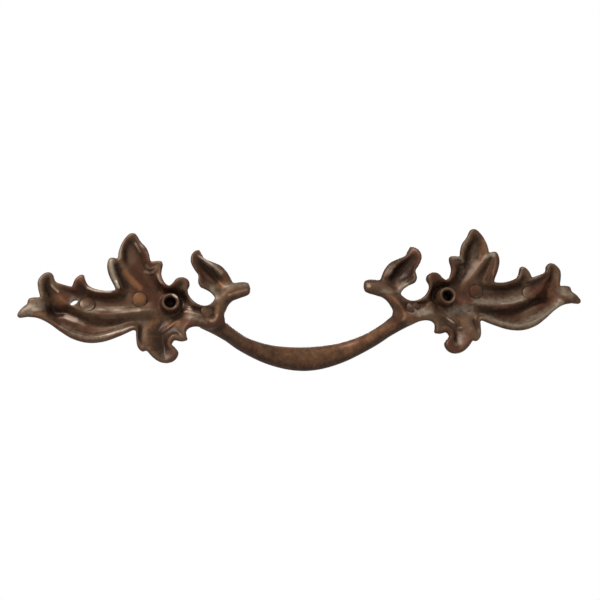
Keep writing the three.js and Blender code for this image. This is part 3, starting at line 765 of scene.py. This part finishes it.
def trimmed_sheet(outline, step):
    """A fine flat grid that ends at the outline."""
    low = outline.min(0) - step
    size = outline.max(0) + step - low
    bm = bmesh.new()
    across, up = (size / step).astype(int)
    bmesh.ops.create_grid(bm, x_segments=across, y_segments=up, size=0.5)
    for v in bm.verts:
        v.co = (low[0] + (v.co.x + 0.5) * size[0], 0, low[1] + (v.co.y + 0.5) * size[1])
    inside = inside_outline(positions(bm), outline)
    outer = [v for v, distance in zip(list(bm.verts), inside) if distance < -0.5 * step]
    bmesh.ops.delete(bm, geom=outer, context="VERTS")
    bmesh.ops.delete(bm, geom=[v for v in bm.verts if not v.link_faces], context="VERTS")
    for v in bm.verts:
        if v.is_boundary:
            gaps = np.hypot(outline[:, 0] - v.co.x, outline[:, 1] - v.co.z)
            if gaps.min() < step:
                v.co.x, v.co.z = outline[gaps.argmin()]
    return bm


def leaf_plate(name, step):
    """One plate as a closed body: a sheet trimmed to the outline, given a front and a back."""
    outline = outline_points(OUTLINE_STEP)
    bm = trimmed_sheet(outline, step)
    at = positions(bm)
    inside = np.clip(inside_outline(at, outline), 0, None)
    back, front = back_and_front(at, inside)
    thick = bm.verts.layers.float.new("thick")
    for v, y, depth in zip(bm.verts, front, back - front):
        v.co.y = y
        v[thick] = depth
    made = bmesh.ops.extrude_face_region(bm, geom=bm.faces[:], use_keep_orig=True)
    for v in made["geom"]:
        if isinstance(v, bmesh.types.BMVert):
            v.co.y += v[thick]
    bmesh.ops.translate(bm, vec=(HALF_SPACING, 0, 0), verts=bm.verts[:])
    bmesh.ops.recalc_face_normals(bm, faces=bm.faces[:])
    return mesh_object(name, bm)


def rounded_body(name, course, steps, size_at):
    """A long rounded body laid along a course; a crest over 1 draws its back to a ridge."""
    bm = bmesh.new()
    bmesh.ops.create_cone(bm, cap_ends=True, segments=BODY_SIDES, radius1=1, radius2=1, depth=1)
    long_edges = [e for e in bm.edges if abs(e.verts[0].co.z - e.verts[1].co.z) > 0.5]
    bmesh.ops.subdivide_edges(bm, edges=long_edges, cuts=steps - 1)
    line = spline(course, COURSE_STEP)
    for v in bm.verts:
        share = min(1.0, max(0.0, v.co.z + 0.5))
        place = share * (len(line) - 1)
        i = min(int(place), len(line) - 2)
        centre = Vector(line[i]).lerp(Vector(line[i + 1]), place - i)
        near, far = line[max(i - 1, 0)], line[min(i + 2, len(line) - 1)]
        along = Vector(far - near).normalized()
        side = Vector((0, 1, 0)).cross(along).normalized()
        out = along.cross(side)
        width, thickness, crest = size_at(share)
        height = abs(v.co.y) ** crest if v.co.y > 0 else v.co.y
        v.co = centre + side * (v.co.x * width / 2) + out * (height * thickness / 2)
    bmesh.ops.recalc_face_normals(bm, faces=bm.faces[:])
    return mesh_object(name, bm)


def lathed(name, profile, u, v, sides=TURNED_SIDES):
    """A turned body about an axis along Y: pairs of radius and Y, both ends on the axis."""
    bm = bmesh.new()
    points = [bm.verts.new((HALF_SPACING + u + r, y, v)) for r, y in profile]
    edges = [bm.edges.new(pair) for pair in zip(points, points[1:])]
    bmesh.ops.spin(bm, geom=points + edges, cent=(HALF_SPACING + u, 0, v), axis=(0, 1, 0),
                   angle=2 * math.pi, steps=sides, use_merge=True)
    bmesh.ops.remove_doubles(bm, verts=bm.verts[:], dist=MERGE_DISTANCE)
    bmesh.ops.recalc_face_normals(bm, faces=bm.faces[:])
    return mesh_object(name, bm)


def grip_body(name):
    root = np.array((HALF_SPACING + GRIP_ROOT[0], GRIP_ROOT[2], GRIP_ROOT[1]))
    heel = np.array((HALF_SPACING + GRIP_HEEL[0], GRIP_HEEL[2], GRIP_HEEL[1]))
    middle = np.array((0, GRIP_THICKNESS / 2 - GRIP_PROJECTION, -GRIP_DROP))
    half = [root + (middle - root) * np.array((span, out, drop)) for span, drop, out in GRIP_COURSE]
    right = [heel, root] + half
    left = [p * np.array((-1, 1, 1)) for p in reversed(right)]

    def size_at(share):
        way = abs(2 * share - 1)
        width = GRIP_WIDTH + (GRIP_WAIST_WIDTH - GRIP_WIDTH) * smooth_step(way, *WAIST_WAY)
        width += (GRIP_ROOT_WIDTH - width) * smooth_step(way, *ROOT_WAY)
        thickness = GRIP_THICKNESS + (GRIP_WAIST_THICKNESS - GRIP_THICKNESS) * smooth_step(way, *THIN_WAY)
        taper = 1 - HEEL_TAPER * smooth_step(way, *HEEL_WAY)
        return width * taper, thickness * taper, 1 + GRIP_CREST * smooth_step(way, *CREST_WAY)

    return rounded_body(name, right + [middle] + left, GRIP_RINGS, size_at)


def sprig_body(name):
    course = np.array([(HALF_SPACING + u, y, v) for u, v, y, _ in SPRIG_COURSE])
    shares = [share for *_, share in SPRIG_COURSE]
    lengths = np.append(0, np.cumsum(np.linalg.norm(np.diff(course, axis=0), axis=1)))

    def size_at(share):
        scale = np.interp(share * lengths[-1], lengths, shares)
        return SPRIG_WIDTH * scale, SPRIG_THICKNESS * scale, SPRIG_CREST

    return rounded_body(name, course, SPRIG_RINGS, size_at)


def floor_at(u, v, radius=0):
    """Level of the back under a spot, or the highest level under a round foot there."""
    turns = np.linspace(0, 2 * math.pi, FOOT_PROBES)
    at = np.stack((u + radius * np.cos(turns), v + radius * np.sin(turns)), 1)
    inside = inside_outline(at, outline_points(ROUGH_STEP))
    return float(back_and_front(at, inside)[0].max())


def boss_body(name):
    foot = floor_at(0, 0) - BOSS_SINK
    profile = ((0, foot), (BOSS_ROOT_RADIUS, foot), (BOSS_FACE_RADIUS + BOSS_FLARE, -BOSS_BEVEL_DEPTH),
               (BOSS_FACE_RADIUS - BOSS_BEVEL, 0), (0, 0))
    return lathed(name, profile, 0, 0)


def boss_foot(name):
    floor = floor_at(0, 0)
    side = [(BOSS_ROOT_RADIUS + out, floor + up) for out, up in FOOT_PROFILE]
    return lathed(name, [(0, side[0][1]), *side, (0, side[-1][1])], 0, 0)


def bore_cutter(name):
    """The screw hole: a chamfered mouth and a helical thread down to a drill point."""
    mouth = BORE_RADIUS + THREAD_DEPTH
    levels = np.arange(-BORE_DEPTH, -(CHAMFER_RADIUS - mouth), THREAD_STEP)
    profile = [(0, -BORE_DEPTH - BORE_RADIUS / 2)] + [(BORE_RADIUS, y) for y in levels]
    profile += [(mouth, -(CHAMFER_RADIUS - mouth)),
                (CHAMFER_RADIUS + CUTTER_OVERRUN, CUTTER_OVERRUN), (0, CUTTER_OVERRUN)]
    made = lathed(name, profile, 0, 0)
    for v in made.data.vertices:
        x, z = v.co.x - HALF_SPACING, v.co.z
        radius = math.hypot(x, z)
        on_wall = abs(radius - BORE_RADIUS) < WALL_TOLERANCE
        if on_wall and v.co.y > -BORE_DEPTH + THREAD_RUNOUT:
            turn = (v.co.y / THREAD_PITCH - math.atan2(z, x) / (2 * math.pi)) % 1
            scale = (BORE_RADIUS + THREAD_DEPTH * (1 - abs(2 * turn - 1))) / radius
            v.co.x = HALF_SPACING + x * scale
            v.co.z = z * scale
    return made


def disc_body(name, u, v, radius):
    """A round pad that lies along the floor under it."""
    turns = np.linspace(0, 2 * math.pi, DISC_PROBES, endpoint=False)
    foot = np.stack((np.cos(turns), np.sin(turns)), 1) * radius
    at = foot + (u, v)
    levels = back_and_front(at, inside_outline(at, outline_points(ROUGH_STEP)))[0]
    slope = 2 * (foot * levels[:, None]).mean(0) / radius ** 2
    top = levels.mean() + DISC_HEIGHT
    bottom = top - DISC_DEPTH
    profile = ((0, bottom), (radius, bottom), (radius, top - DISC_BEVEL_DEPTH), (radius - DISC_BEVEL, top),
               (0, top))
    made = lathed(name, profile, u, v, DISC_SIDES)
    for vertex in made.data.vertices:
        across, up = vertex.co.x - HALF_SPACING - u, vertex.co.z - v
        vertex.co.y += slope[0] * across + slope[1] * up
    return made


def slot_cutter(name):
    bm = bmesh.new()
    bmesh.ops.create_cone(bm, cap_ends=True, segments=SLOT_SIDES, radius1=1, radius2=1,
                          depth=SLOT_CUT_DEPTH)
    bmesh.ops.scale(bm, vec=(SLOT_WIDTH / 2, SLOT_LENGTH / 2, 1), verts=bm.verts[:])
    turn = Matrix.Rotation(math.radians(90), 3, "X") @ Matrix.Rotation(SLOT_LEAN, 3, "Z")
    bmesh.ops.rotate(bm, matrix=turn, cent=(0, 0, 0), verts=bm.verts[:])
    place = (HALF_SPACING + SLOT_PLACE[0], SLOT_CUT_MIDDLE, SLOT_PLACE[1])
    bmesh.ops.translate(bm, vec=place, verts=bm.verts[:])
    return mesh_object(name, bm)


def mirrored_copy(source, name, keep=True):
    bm = bmesh.new()
    bm.from_mesh(source.data)
    if not keep:
        bpy.data.objects.remove(source)
    bmesh.ops.scale(bm, vec=(-1, 1, 1), verts=bm.verts[:])
    bmesh.ops.reverse_faces(bm, faces=bm.faces[:])
    return mesh_object(name, bm)


def joined(name, pieces):
    """One object that holds the meshes of several pieces, which are removed."""
    bm = bmesh.new()
    for piece in pieces:
        bm.from_mesh(piece.data)
    for piece in pieces:
        bpy.data.objects.remove(piece)
    return mesh_object(name, bm)


def settled(obj):
    """The object with its modifiers applied."""
    graph = bpy.context.evaluated_depsgraph_get()
    mesh = bpy.data.meshes.new_from_object(obj.evaluated_get(graph))
    obj.modifiers.clear()
    obj.data = mesh
    return obj


def fused(obj, voxel, smoothing):
    remesh = obj.modifiers.new("fuse", "REMESH")
    remesh.mode = "VOXEL"
    remesh.voxel_size = voxel
    smooth = obj.modifiers.new("smooth", "SMOOTH")
    smooth.factor = 0.5
    smooth.iterations = smoothing
    return settled(obj)


def combined(obj, tool, operation):
    boolean = obj.modifiers.new("combine", "BOOLEAN")
    boolean.operation = operation
    boolean.solver = "MANIFOLD"
    boolean.object = tool
    settled(obj)
    bpy.data.objects.remove(tool)
    return obj


def thinned(obj, most_triangles, free):
    """The object with its free vertices thinned out where it is flat, down to this many triangles."""
    obj.data.calc_loop_triangles()
    group = obj.vertex_groups.new(name="free")
    group.add(np.flatnonzero(free).tolist(), 1, "REPLACE")
    thin = obj.modifiers.new("thin", "DECIMATE")
    thin.ratio = min(1, most_triangles / len(obj.data.loop_triangles))
    thin.vertex_group = group.name
    settled(obj)
    obj.vertex_groups.clear()
    return obj


def both_sides(made, name):
    return joined(name, [made, mirrored_copy(made, name + "_mirror")])


def coordinates(mesh, kind="co"):
    values = np.empty(len(mesh.vertices) * 3)
    mesh.vertices.foreach_get(kind, values)
    return values.reshape(-1, 3)


def edge_ends(mesh):
    ends = np.empty(len(mesh.edges) * 2, int)
    mesh.edges.foreach_get("vertices", ends)
    return ends.reshape(-1, 2)


def neighbours_mean(values, edges):
    """Mean of each vertex's neighbours along the edges."""
    start, end = edges.T
    count = len(values)
    degree = np.bincount(start, minlength=count) + np.bincount(end, minlength=count)
    total = [np.bincount(start, column[end], count) + np.bincount(end, column[start], count)
             for column in values.T]
    return np.stack(total, 1) / np.maximum(degree, 1)[:, None]


def stroke_strength(co, strokes):
    """How much each vertex lies under any of the strokes."""
    strength = np.zeros(len(co))
    at = co[:, [0, 2]]
    for radius, share, course in strokes:
        path = np.array(course if len(course) > 1 else course * 2, float)
        reach = STROKE_REACH * radius
        near = ((at > path.min(0) - reach) & (at < path.max(0) + reach)).all(1)
        run = spline(path, CURVE_STEP) if len(course) > 2 else path
        ends = run[1:] + (SPOT_LENGTH if len(course) == 1 else 0)
        apart = to_segments(at[near], run[:-1], ends)[0].min(1)
        strength[near] = np.maximum(strength[near], share * np.exp(-(apart / radius) ** 2))
    return strength


def soften_joints(obj, passes):
    """Lets the branches run into each other where they meet."""
    mesh = obj.data
    co = coordinates(mesh)
    edges = edge_ends(mesh)
    strokes = [(radius, strength, ((side * (HALF_SPACING + u), v),))
               for side in (1, -1) for u, v, radius, strength in SOFT_PLACES]
    share = SOFT_SHARE * stroke_strength(co, strokes)[:, None]
    for _ in range(passes):
        co += share * (neighbours_mean(co, edges) - co)
    mesh.vertices.foreach_set("co", co.ravel())
    mesh.update()


def pad_shares(co):
    """Distance of each vertex from the nearest pad's axis, as a share of the pad's radius."""
    back = co[:, 1] > PAD_DEPTH
    shares = [np.hypot(co[:, 0] - side * (HALF_SPACING + u), co[:, 2] - v) / radius
              for side, u, v, radius in DISC_PLACES]
    return np.where(back, np.min(shares, 0), FAR_FROM_PADS)


def paint_relief(obj):
    """Stores on each vertex how far it stands out of its surroundings, finely and broadly."""
    mesh = obj.data
    co = coordinates(mesh)
    normal = coordinates(mesh, "normal")
    edges = edge_ends(mesh)
    on_pads = pad_shares(co) < PAD_TOP
    blurred = co.copy()
    for name, passes, scale in RELIEFS:
        for _ in range(passes):
            blurred = 0.5 * blurred + 0.5 * neighbours_mean(blurred, edges)
        stand = np.where(on_pads, 0, ((co - blurred) * normal).sum(1) / scale)
        stored = mesh.attributes.new(name, "FLOAT", "POINT")
        stored.data.foreach_set("value", np.clip(0.5 + 0.5 * stand, 0, 1).astype(np.float32))


def ring(shares, at):
    """A fine ring at a share of each pad's radius."""
    return np.exp(-((shares - at) / PAD_LINE) ** 2)


def grip_masks(co, normal):
    """Where the grip is, and the painted highlight along its top."""
    from_middle = np.abs(co[:, 0])
    on_grip = smooth_step(-co[:, 2], *GRIP_PAINT_TOP) * (1 - smooth_step(from_middle, *GRIP_PAINT_ENDS))
    top_highlight = on_grip * smooth_step(normal[:, 2], *TOP_FACING)
    return on_grip, top_highlight * (1 - smooth_step(from_middle, *GRIP_HIGHLIGHT_ENDS))


def inside_bores(co, normal):
    """The walls of the screw holes, without the plate's front beyond them."""
    off_axis = np.hypot(np.abs(co[:, 0]) - HALF_SPACING, co[:, 2])
    deep = co[:, 1] > -BORE_DEPTH - BORE_RADIUS
    return (off_axis < CHAMFER_RADIUS - BORE_PAINT_INSET) & deep & (normal[:, 1] > BORE_FACING)


def paint_patina_and_light(obj):
    """Stores in the channels of one attribute: grey bloom with painted light, warm metal, dark patina with
    painted shade, and rubbed metal with painted highlights.
    """
    mesh = obj.data
    co = coordinates(mesh)
    normal = coordinates(mesh, "normal")
    behind = smooth_step(normal[:, 1], *BACK_FACING)
    bloom_and_light, warm, dark, rub_and_highlight = [behind * stroke_strength(co, strokes)
                              for strokes in (BLOOM_AND_LIGHT_STROKES, WARM_STROKES, DARK_STROKES, RUB_AND_HIGHLIGHT_STROKES)]
    ridge = np.zeros(len(co), np.float32)
    mesh.attributes["ridge"].data.foreach_get("value", ridge)
    on_grip, top_highlight = grip_masks(co, normal)
    # Painted shade on the rims' outer sides, which turn away from the light
    rim_side_shade = (1 - smooth_step(normal[:, 1], *RIM_FACING)) * smooth_step(ridge, *RIM_RIDGE) * behind
    # Painted shade on faces that turn downwards, stronger under the grip
    under = smooth_step(-normal[:, 2], *UNDER_FACING)
    pads = pad_shares(co)
    dark = np.maximum(dark, (1 - on_grip) * np.maximum(rim_side_shade, UNDER_SHADE * under))
    dark = np.maximum(dark, on_grip * (GRIP_DARK + GRIP_UNDER_SHADE * under))
    # Painted shade inside the screw holes
    dark = np.maximum(dark, inside_bores(co, normal))
    # Painted shade in the groove around each pad
    dark = np.maximum(dark, behind * ring(pads, PAD_GROOVE))
    # The painted highlight on the grip's top lightens the darkening there
    dark = dark * (1 - HIGHLIGHT_CLEARS_DARK * top_highlight)
    # Rubbed metal and a painted highlight on each pad's edge
    rub_and_highlight = np.maximum(rub_and_highlight, PAD_EDGE_RUB_AND_HIGHLIGHT * behind * ring(pads, PAD_EDGE))
    # Painted highlight along the grip's top
    rub_and_highlight = np.maximum(rub_and_highlight, GRIP_TOP_HIGHLIGHT * top_highlight)
    warm = np.maximum(warm, GRIP_WARM * on_grip)
    weights = np.stack((bloom_and_light, warm, dark, rub_and_highlight), 1).astype(np.float32)
    # The attribute holds patina and rubbed metal together with painted light, shade and highlights
    stored = mesh.attributes.new("patina", "FLOAT_COLOR", "POINT")
    stored.data.foreach_set("color", weights.ravel())


def cast_body(settings):
    """The plates, sprigs, grip and boss feet run together as they leave the mould."""
    plates = both_sides(leaf_plate("plate", PLATE_STEP), "plates")
    parts = [plates, both_sides(sprig_body("sprig"), "sprigs"), grip_body("grip"),
             both_sides(boss_foot("foot"), "feet")]
    body = fused(joined("handle", parts), settings.fineness, settings.smoothing)
    soften_joints(body, settings.joint_softening)
    return body


def model_casting(settings):
    """The whole handle in metres, with its pads, bosses, screw holes and slot."""
    body = cast_body(settings)
    for side, u, v, radius in DISC_PLACES:
        disc = disc_body("disc", u, v, radius)
        if side < 0:
            disc = mirrored_copy(disc, "disc_mirror", keep=False)
        body = combined(body, disc, "UNION")
    body = combined(body, both_sides(boss_body("boss"), "bosses"), "UNION")
    body = combined(body, both_sides(bore_cutter("bore"), "bores"), "DIFFERENCE")
    body = combined(body, slot_cutter("slot"), "DIFFERENCE")
    paint_relief(body)
    paint_patina_and_light(body)
    off_pads = pad_shares(coordinates(body.data)) > PAD_KEPT
    body = thinned(body, MOST_TRIANGLES, off_pads)
    body.data.transform(Matrix.Scale(MM, 4))
    body.data.shade_smooth()
    body.data.set_sharp_from_angle(angle=math.radians(SHARP_ANGLE))
    return body


# Materials

def noise(tree, vector, scale, detail=4, roughness=0.5):
    node = tree.nodes.new("ShaderNodeTexNoise")
    node.inputs["Scale"].default_value = scale
    node.inputs["Detail"].default_value = detail
    node.inputs["Roughness"].default_value = roughness
    tree.links.new(vector, node.inputs["Vector"])
    return node.outputs["Fac"]


def ramp(tree, value, low, high):
    """A smooth mask: 0 below low and 1 above high."""
    node = tree.nodes.new("ShaderNodeMapRange")
    node.interpolation_type = "SMOOTHSTEP"
    node.inputs["From Min"].default_value = low
    node.inputs["From Max"].default_value = high
    tree.links.new(value, node.inputs["Value"])
    return node.outputs["Result"]


def math_node(tree, operation, *values):
    node = tree.nodes.new("ShaderNodeMath")
    node.operation = operation
    for socket, value in zip(node.inputs, values):
        if isinstance(value, (int, float)):
            socket.default_value = value
        else:
            tree.links.new(value, socket)
    return node.outputs[0]


def mix_colour(tree, mask, under, over):
    node = tree.nodes.new("ShaderNodeMix")
    node.data_type = "RGBA"
    for name, value in (("Factor", mask), ("A", under), ("B", over)):
        if isinstance(value, tuple):
            node.inputs[name].default_value = value
        else:
            tree.links.new(value, node.inputs[name])
    return node.outputs["Result"]


def attribute(tree, name):
    node = tree.nodes.new("ShaderNodeAttribute")
    node.attribute_name = name
    return node.outputs["Fac"]


def weighted(tree, values, shares):
    """Sum of the named values, each times its share."""
    total = 0
    for name, share in shares.items():
        total = math_node(tree, "MULTIPLY_ADD", values[name], share, total)
    return total


# The dark patina colour also paints shade, the rubbed copper colour also paints highlights, and the grey
# bloom colour also paints light
DARK_PATINA_AND_SHADE = (0.025, 0.013, 0.008, 1)
RED_BROWN = (0.070, 0.029, 0.016, 1)
BROWN_COPPER = (0.092, 0.052, 0.030, 1)
WARM_COPPER = (0.180, 0.080, 0.034, 1)
RUBBED_AND_HIGHLIT_COPPER = (0.440, 0.330, 0.255, 1)
GREY_BLOOM_AND_LIGHT = (0.200, 0.158, 0.113, 1)
EDGE_TINT = (0.35, 0.28, 0.24, 1)

# Noise patterns in the metal: scale, detail and roughness
NOISES = {
    "mottle": (260, 5, 0.6),
    "patches": (90, 3, 0.5),
    "specks": (700, 4, 0.65),
    "grain": (1400, 3, 0.6),
}

# How high and open to rubbing each spot is
HIGH_SHARES = {"relief": 0.3, "ridge": 0.4, "mottle": 0.3}

# Sheen of the metal
METALLIC = 0.35
SPECULAR = 0.25
COAT = 0.06
COAT_ROUGHNESS = 0.22
ROUGHNESS = 0.42
MOTTLE_ROUGHNESS = 0.2
RUB_ROUGHNESS = -0.15
GRAIN_STRENGTH = 0.3
GRAIN_DEPTH = 0.0002


def metal_values(tree):
    """The noises, the relief, and the painted patina with its painted light and shade, by name."""
    place = tree.nodes.new("ShaderNodeTexCoord").outputs["Object"]
    values = {name: noise(tree, place, *pattern) for name, pattern in NOISES.items()}
    values["ridge"] = attribute(tree, "ridge")
    values["relief"] = attribute(tree, "relief")
    # Painted weights: grey bloom with painted light, warm metal, dark patina with painted shade, rubbed
    # metal with painted highlights
    patina = tree.nodes.new("ShaderNodeAttribute")
    patina.attribute_name = "patina"
    weights = tree.nodes.new("ShaderNodeSeparateColor")
    tree.links.new(patina.outputs["Color"], weights.inputs[0])
    values.update(zip(("bloom_and_light", "warm", "dark"), weights.outputs))
    values["rub_and_highlight"] = patina.outputs["Alpha"]
    values["high"] = weighted(tree, values, HIGH_SHARES)
    return values


def metal_colour(tree, values, settings):
    """Red brown metal under layers of colour, each with the shares in its mask and the mask's range."""
    layers = (
        (settings.brown_copper, {"patches": 1}, (0.4, 0.58)),
        (WARM_COPPER, {"mottle": 0.6, "warm": 0.6}, (0.45, 0.9)),
        (GREY_BLOOM_AND_LIGHT, {"specks": 0.75, "bloom_and_light": 0.75}, (0.42, 1.15)),
        # Dark patina in the hollows, and painted shade where the dark weights lie
        (settings.dark_patina_and_shade, {"high": -1, "dark": 0.45, "specks": -0.5}, (-0.8, -0.28)),
        # Metal rubbed on the high places, and painted highlights where the highlight weights lie
        (settings.rubbed_and_highlit_copper, {"high": 1, "rub_and_highlight": 0.45, "dark": -0.4}, (0.68, 1.17)),
    )
    colour = RED_BROWN
    for tint, shares, span in layers:
        mask = ramp(tree, weighted(tree, values, shares), *span)
        colour = mix_colour(tree, mask, colour, tuple(tint))
    return colour


def aged_copper(settings):
    material = bpy.data.materials.new("aged_copper")
    material.use_nodes = True
    tree = material.node_tree
    shader = tree.nodes["Principled BSDF"]
    values = metal_values(tree)
    tree.links.new(metal_colour(tree, values, settings), shader.inputs["Base Color"])
    shader.inputs["Metallic"].default_value = METALLIC
    shader.inputs["Specular IOR Level"].default_value = SPECULAR
    shader.inputs["Specular Tint"].default_value = EDGE_TINT
    shader.inputs["Coat Weight"].default_value = COAT
    shader.inputs["Coat Roughness"].default_value = COAT_ROUGHNESS
    roughness = math_node(tree, "MULTIPLY_ADD", values["mottle"], MOTTLE_ROUGHNESS, ROUGHNESS)
    roughness = math_node(tree, "MULTIPLY_ADD", values["rub_and_highlight"], RUB_ROUGHNESS, roughness)
    tree.links.new(roughness, shader.inputs["Roughness"])
    bump = tree.nodes.new("ShaderNodeBump")
    bump.inputs["Strength"].default_value = GRAIN_STRENGTH
    bump.inputs["Distance"].default_value = GRAIN_DEPTH
    tree.links.new(values["grain"], bump.inputs["Height"])
    tree.links.new(bump.outputs["Normal"], shader.inputs["Normal"])
    return material


# Stage

CAMERA_PLACE = (0.0596, 0.3366, -0.0674)
CAMERA_TURN = (101.12, 3.08, 171.33)
CAMERA_LENS = 57.94
CAMERA_SENSOR = 36
FLOOR_LEVEL = -0.16
FLOOR_SIZE = 30
FLOOR_CLEAR = (0.2, 0.45)
FLOOR_GREY = (0.8, 0.8, 0.8, 1)
FLOOR_ROUGHNESS = 0.8
WHITE = (1, 1, 1, 1)
LAMP_AIM = (0, 0, 0)
LAMP_SIZE = 0.25
KEY_PLACE = (0.30, 0.35, 0.45)
FILL_PLACE = (-0.20, -0.50, 0.15)


def seen_directly(tree):
    """1 where the camera, a reflection or clear glass looks at a surface."""
    path = tree.nodes.new("ShaderNodeLightPath")
    seen = math_node(tree, "MAXIMUM", path.outputs["Is Camera Ray"], path.outputs["Is Glossy Ray"])
    return math_node(tree, "MAXIMUM", seen, path.outputs["Is Transmission Ray"])


def make_world(level):
    world = bpy.data.worlds.new("studio")
    world.use_nodes = True
    bpy.context.scene.world = world
    tree = world.node_tree
    shader = tree.nodes["Background"]
    strength = math_node(tree, "MAXIMUM", seen_directly(tree), level)
    tree.links.new(strength, shader.inputs["Strength"])
    shader.inputs["Color"].default_value = WHITE


def pale_floor():
    """Pale matt paint near the handle, which turns into the white background further out."""
    material = bpy.data.materials.new("pale_floor")
    material.use_nodes = True
    tree = material.node_tree
    paint = tree.nodes["Principled BSDF"]
    paint.inputs["Base Color"].default_value = FLOOR_GREY
    paint.inputs["Roughness"].default_value = FLOOR_ROUGHNESS
    glow = tree.nodes.new("ShaderNodeEmission")
    reach = tree.nodes.new("ShaderNodeVectorMath")
    reach.operation = "LENGTH"
    tree.links.new(tree.nodes.new("ShaderNodeTexCoord").outputs["Object"], reach.inputs[0])
    far = ramp(tree, reach.outputs["Value"], *FLOOR_CLEAR)
    mix = tree.nodes.new("ShaderNodeMixShader")
    tree.links.new(math_node(tree, "MULTIPLY", far, seen_directly(tree)), mix.inputs[0])
    tree.links.new(paint.outputs[0], mix.inputs[1])
    tree.links.new(glow.outputs[0], mix.inputs[2])
    tree.links.new(mix.outputs[0], tree.nodes["Material Output"].inputs["Surface"])
    return material


def make_floor():
    bm = bmesh.new()
    bmesh.ops.create_grid(bm, x_segments=1, y_segments=1, size=FLOOR_SIZE)
    bmesh.ops.translate(bm, vec=(0, 0, FLOOR_LEVEL), verts=bm.verts[:])
    floor = mesh_object("floor", bm)
    floor.data.materials.append(pale_floor())
    return floor


def soft_lamp(name, place, power):
    data = bpy.data.lights.new(name, "AREA")
    data.shape = "DISK"
    data.size = LAMP_SIZE
    data.energy = power
    lamp = bpy.data.objects.new(name, data)
    lamp.location = place
    lamp.rotation_euler = (Vector(LAMP_AIM) - Vector(place)).to_track_quat("-Z", "Y").to_euler()
    bpy.context.scene.collection.objects.link(lamp)
    return lamp


def make_camera():
    data = bpy.data.cameras.new("camera")
    data.lens = CAMERA_LENS
    data.sensor_width = CAMERA_SENSOR
    camera = bpy.data.objects.new("camera", data)
    camera.location = CAMERA_PLACE
    camera.rotation_euler = Euler([math.radians(a) for a in CAMERA_TURN], "XYZ")
    bpy.context.scene.collection.objects.link(camera)
    bpy.context.scene.camera = camera
    return camera


# Sizes and colours that a user would change, and the operators that use them

class DrawerPullSettings(bpy.types.PropertyGroup):
    fineness: bpy.props.FloatProperty(
        name="Fineness", description="Mesh step of the casting, in millimetres",
        default=0.34, min=0.2, max=1, subtype="UNSIGNED", unit="NONE")
    smoothing: bpy.props.IntProperty(
        name="Smoothing", description="Passes that soften the cast edges",
        default=4, min=0, max=20, subtype="UNSIGNED")
    joint_softening: bpy.props.IntProperty(
        name="Joint softening", description="Passes that let the branches run into each other",
        default=40, min=0, max=100, subtype="UNSIGNED")
    # Also the colour of the painted shade
    dark_patina_and_shade: bpy.props.FloatVectorProperty(
        name="Dark patina", description="Colour in the troughs", default=DARK_PATINA_AND_SHADE,
        size=4, min=0, max=1, subtype="COLOR")
    brown_copper: bpy.props.FloatVectorProperty(
        name="Brown copper", description="Main colour of the metal", default=BROWN_COPPER,
        size=4, min=0, max=1, subtype="COLOR")
    # Also the colour of the painted highlights
    rubbed_and_highlit_copper: bpy.props.FloatVectorProperty(
        name="Rubbed copper", description="Colour of crests rubbed bright", default=RUBBED_AND_HIGHLIT_COPPER,
        size=4, min=0, max=1, subtype="COLOR")
    world_level: bpy.props.FloatProperty(
        name="Room light", description="Strength of the light from all round",
        default=0.4, min=0, max=2, subtype="FACTOR")
    key_power: bpy.props.FloatProperty(
        name="Key lamp", description="Power of the soft lamp behind the handle",
        default=5, min=0, max=100, unit="POWER")
    fill_power: bpy.props.FloatProperty(
        name="Fill lamp", description="Power of the soft lamp before the handle",
        default=2.5, min=0, max=100, unit="POWER")


class DRAWERPULL_OT_casting(bpy.types.Operator):
    """Model the handle's casting and give it its antiqued copper"""
    bl_idname = "drawer_pull.casting"
    bl_label = "Casting"

    def execute(self, context):
        settings = context.scene.drawer_pull
        casting = model_casting(settings)
        if not casting.data.polygons:
            raise RuntimeError("The casting came out without faces")
        casting.name = "handle_cast_copper"
        casting.data.materials.clear()
        casting.data.materials.append(aged_copper(settings))
        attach(casting, BODY)
        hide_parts(NODE)
        return {"FINISHED"}


class DRAWERPULL_OT_stage(bpy.types.Operator):
    """Add the floor, the lamps and the camera"""
    bl_idname = "drawer_pull.stage"
    bl_label = "Stage"

    def execute(self, context):
        settings = context.scene.drawer_pull
        make_world(settings.world_level)
        make_floor()
        soft_lamp("key", KEY_PLACE, settings.key_power)
        soft_lamp("fill", FILL_PLACE, settings.fill_power)
        make_camera()
        context.scene.view_settings.view_transform = "Standard"
        return {"FINISHED"}


class DRAWERPULL_PT_panel(bpy.types.Panel):
    bl_label = "Drawer Pull"
    bl_idname = "DRAWERPULL_PT_panel"
    bl_space_type = "VIEW_3D"
    bl_region_type = "UI"
    bl_category = "Drawer Pull"

    def draw(self, context):
        column = self.layout.column()
        for name in DrawerPullSettings.__annotations__:
            column.prop(context.scene.drawer_pull, name)
        for operator in STEPS:
            column.operator(operator.bl_idname)


STEPS = (DRAWERPULL_OT_stage, DRAWERPULL_OT_casting)
CLASSES = (DrawerPullSettings, *STEPS, DRAWERPULL_PT_panel)


def register():
    for cls in CLASSES:
        bpy.utils.register_class(cls)
    bpy.types.Scene.drawer_pull = bpy.props.PointerProperty(type=DrawerPullSettings)


def unregister():
    del bpy.types.Scene.drawer_pull
    for cls in reversed(CLASSES):
        bpy.utils.unregister_class(cls)


def main():
    register()
    bpy.ops.drawer_pull.stage()
    bpy.ops.drawer_pull.casting()


if __name__ == "__main__":
    main()
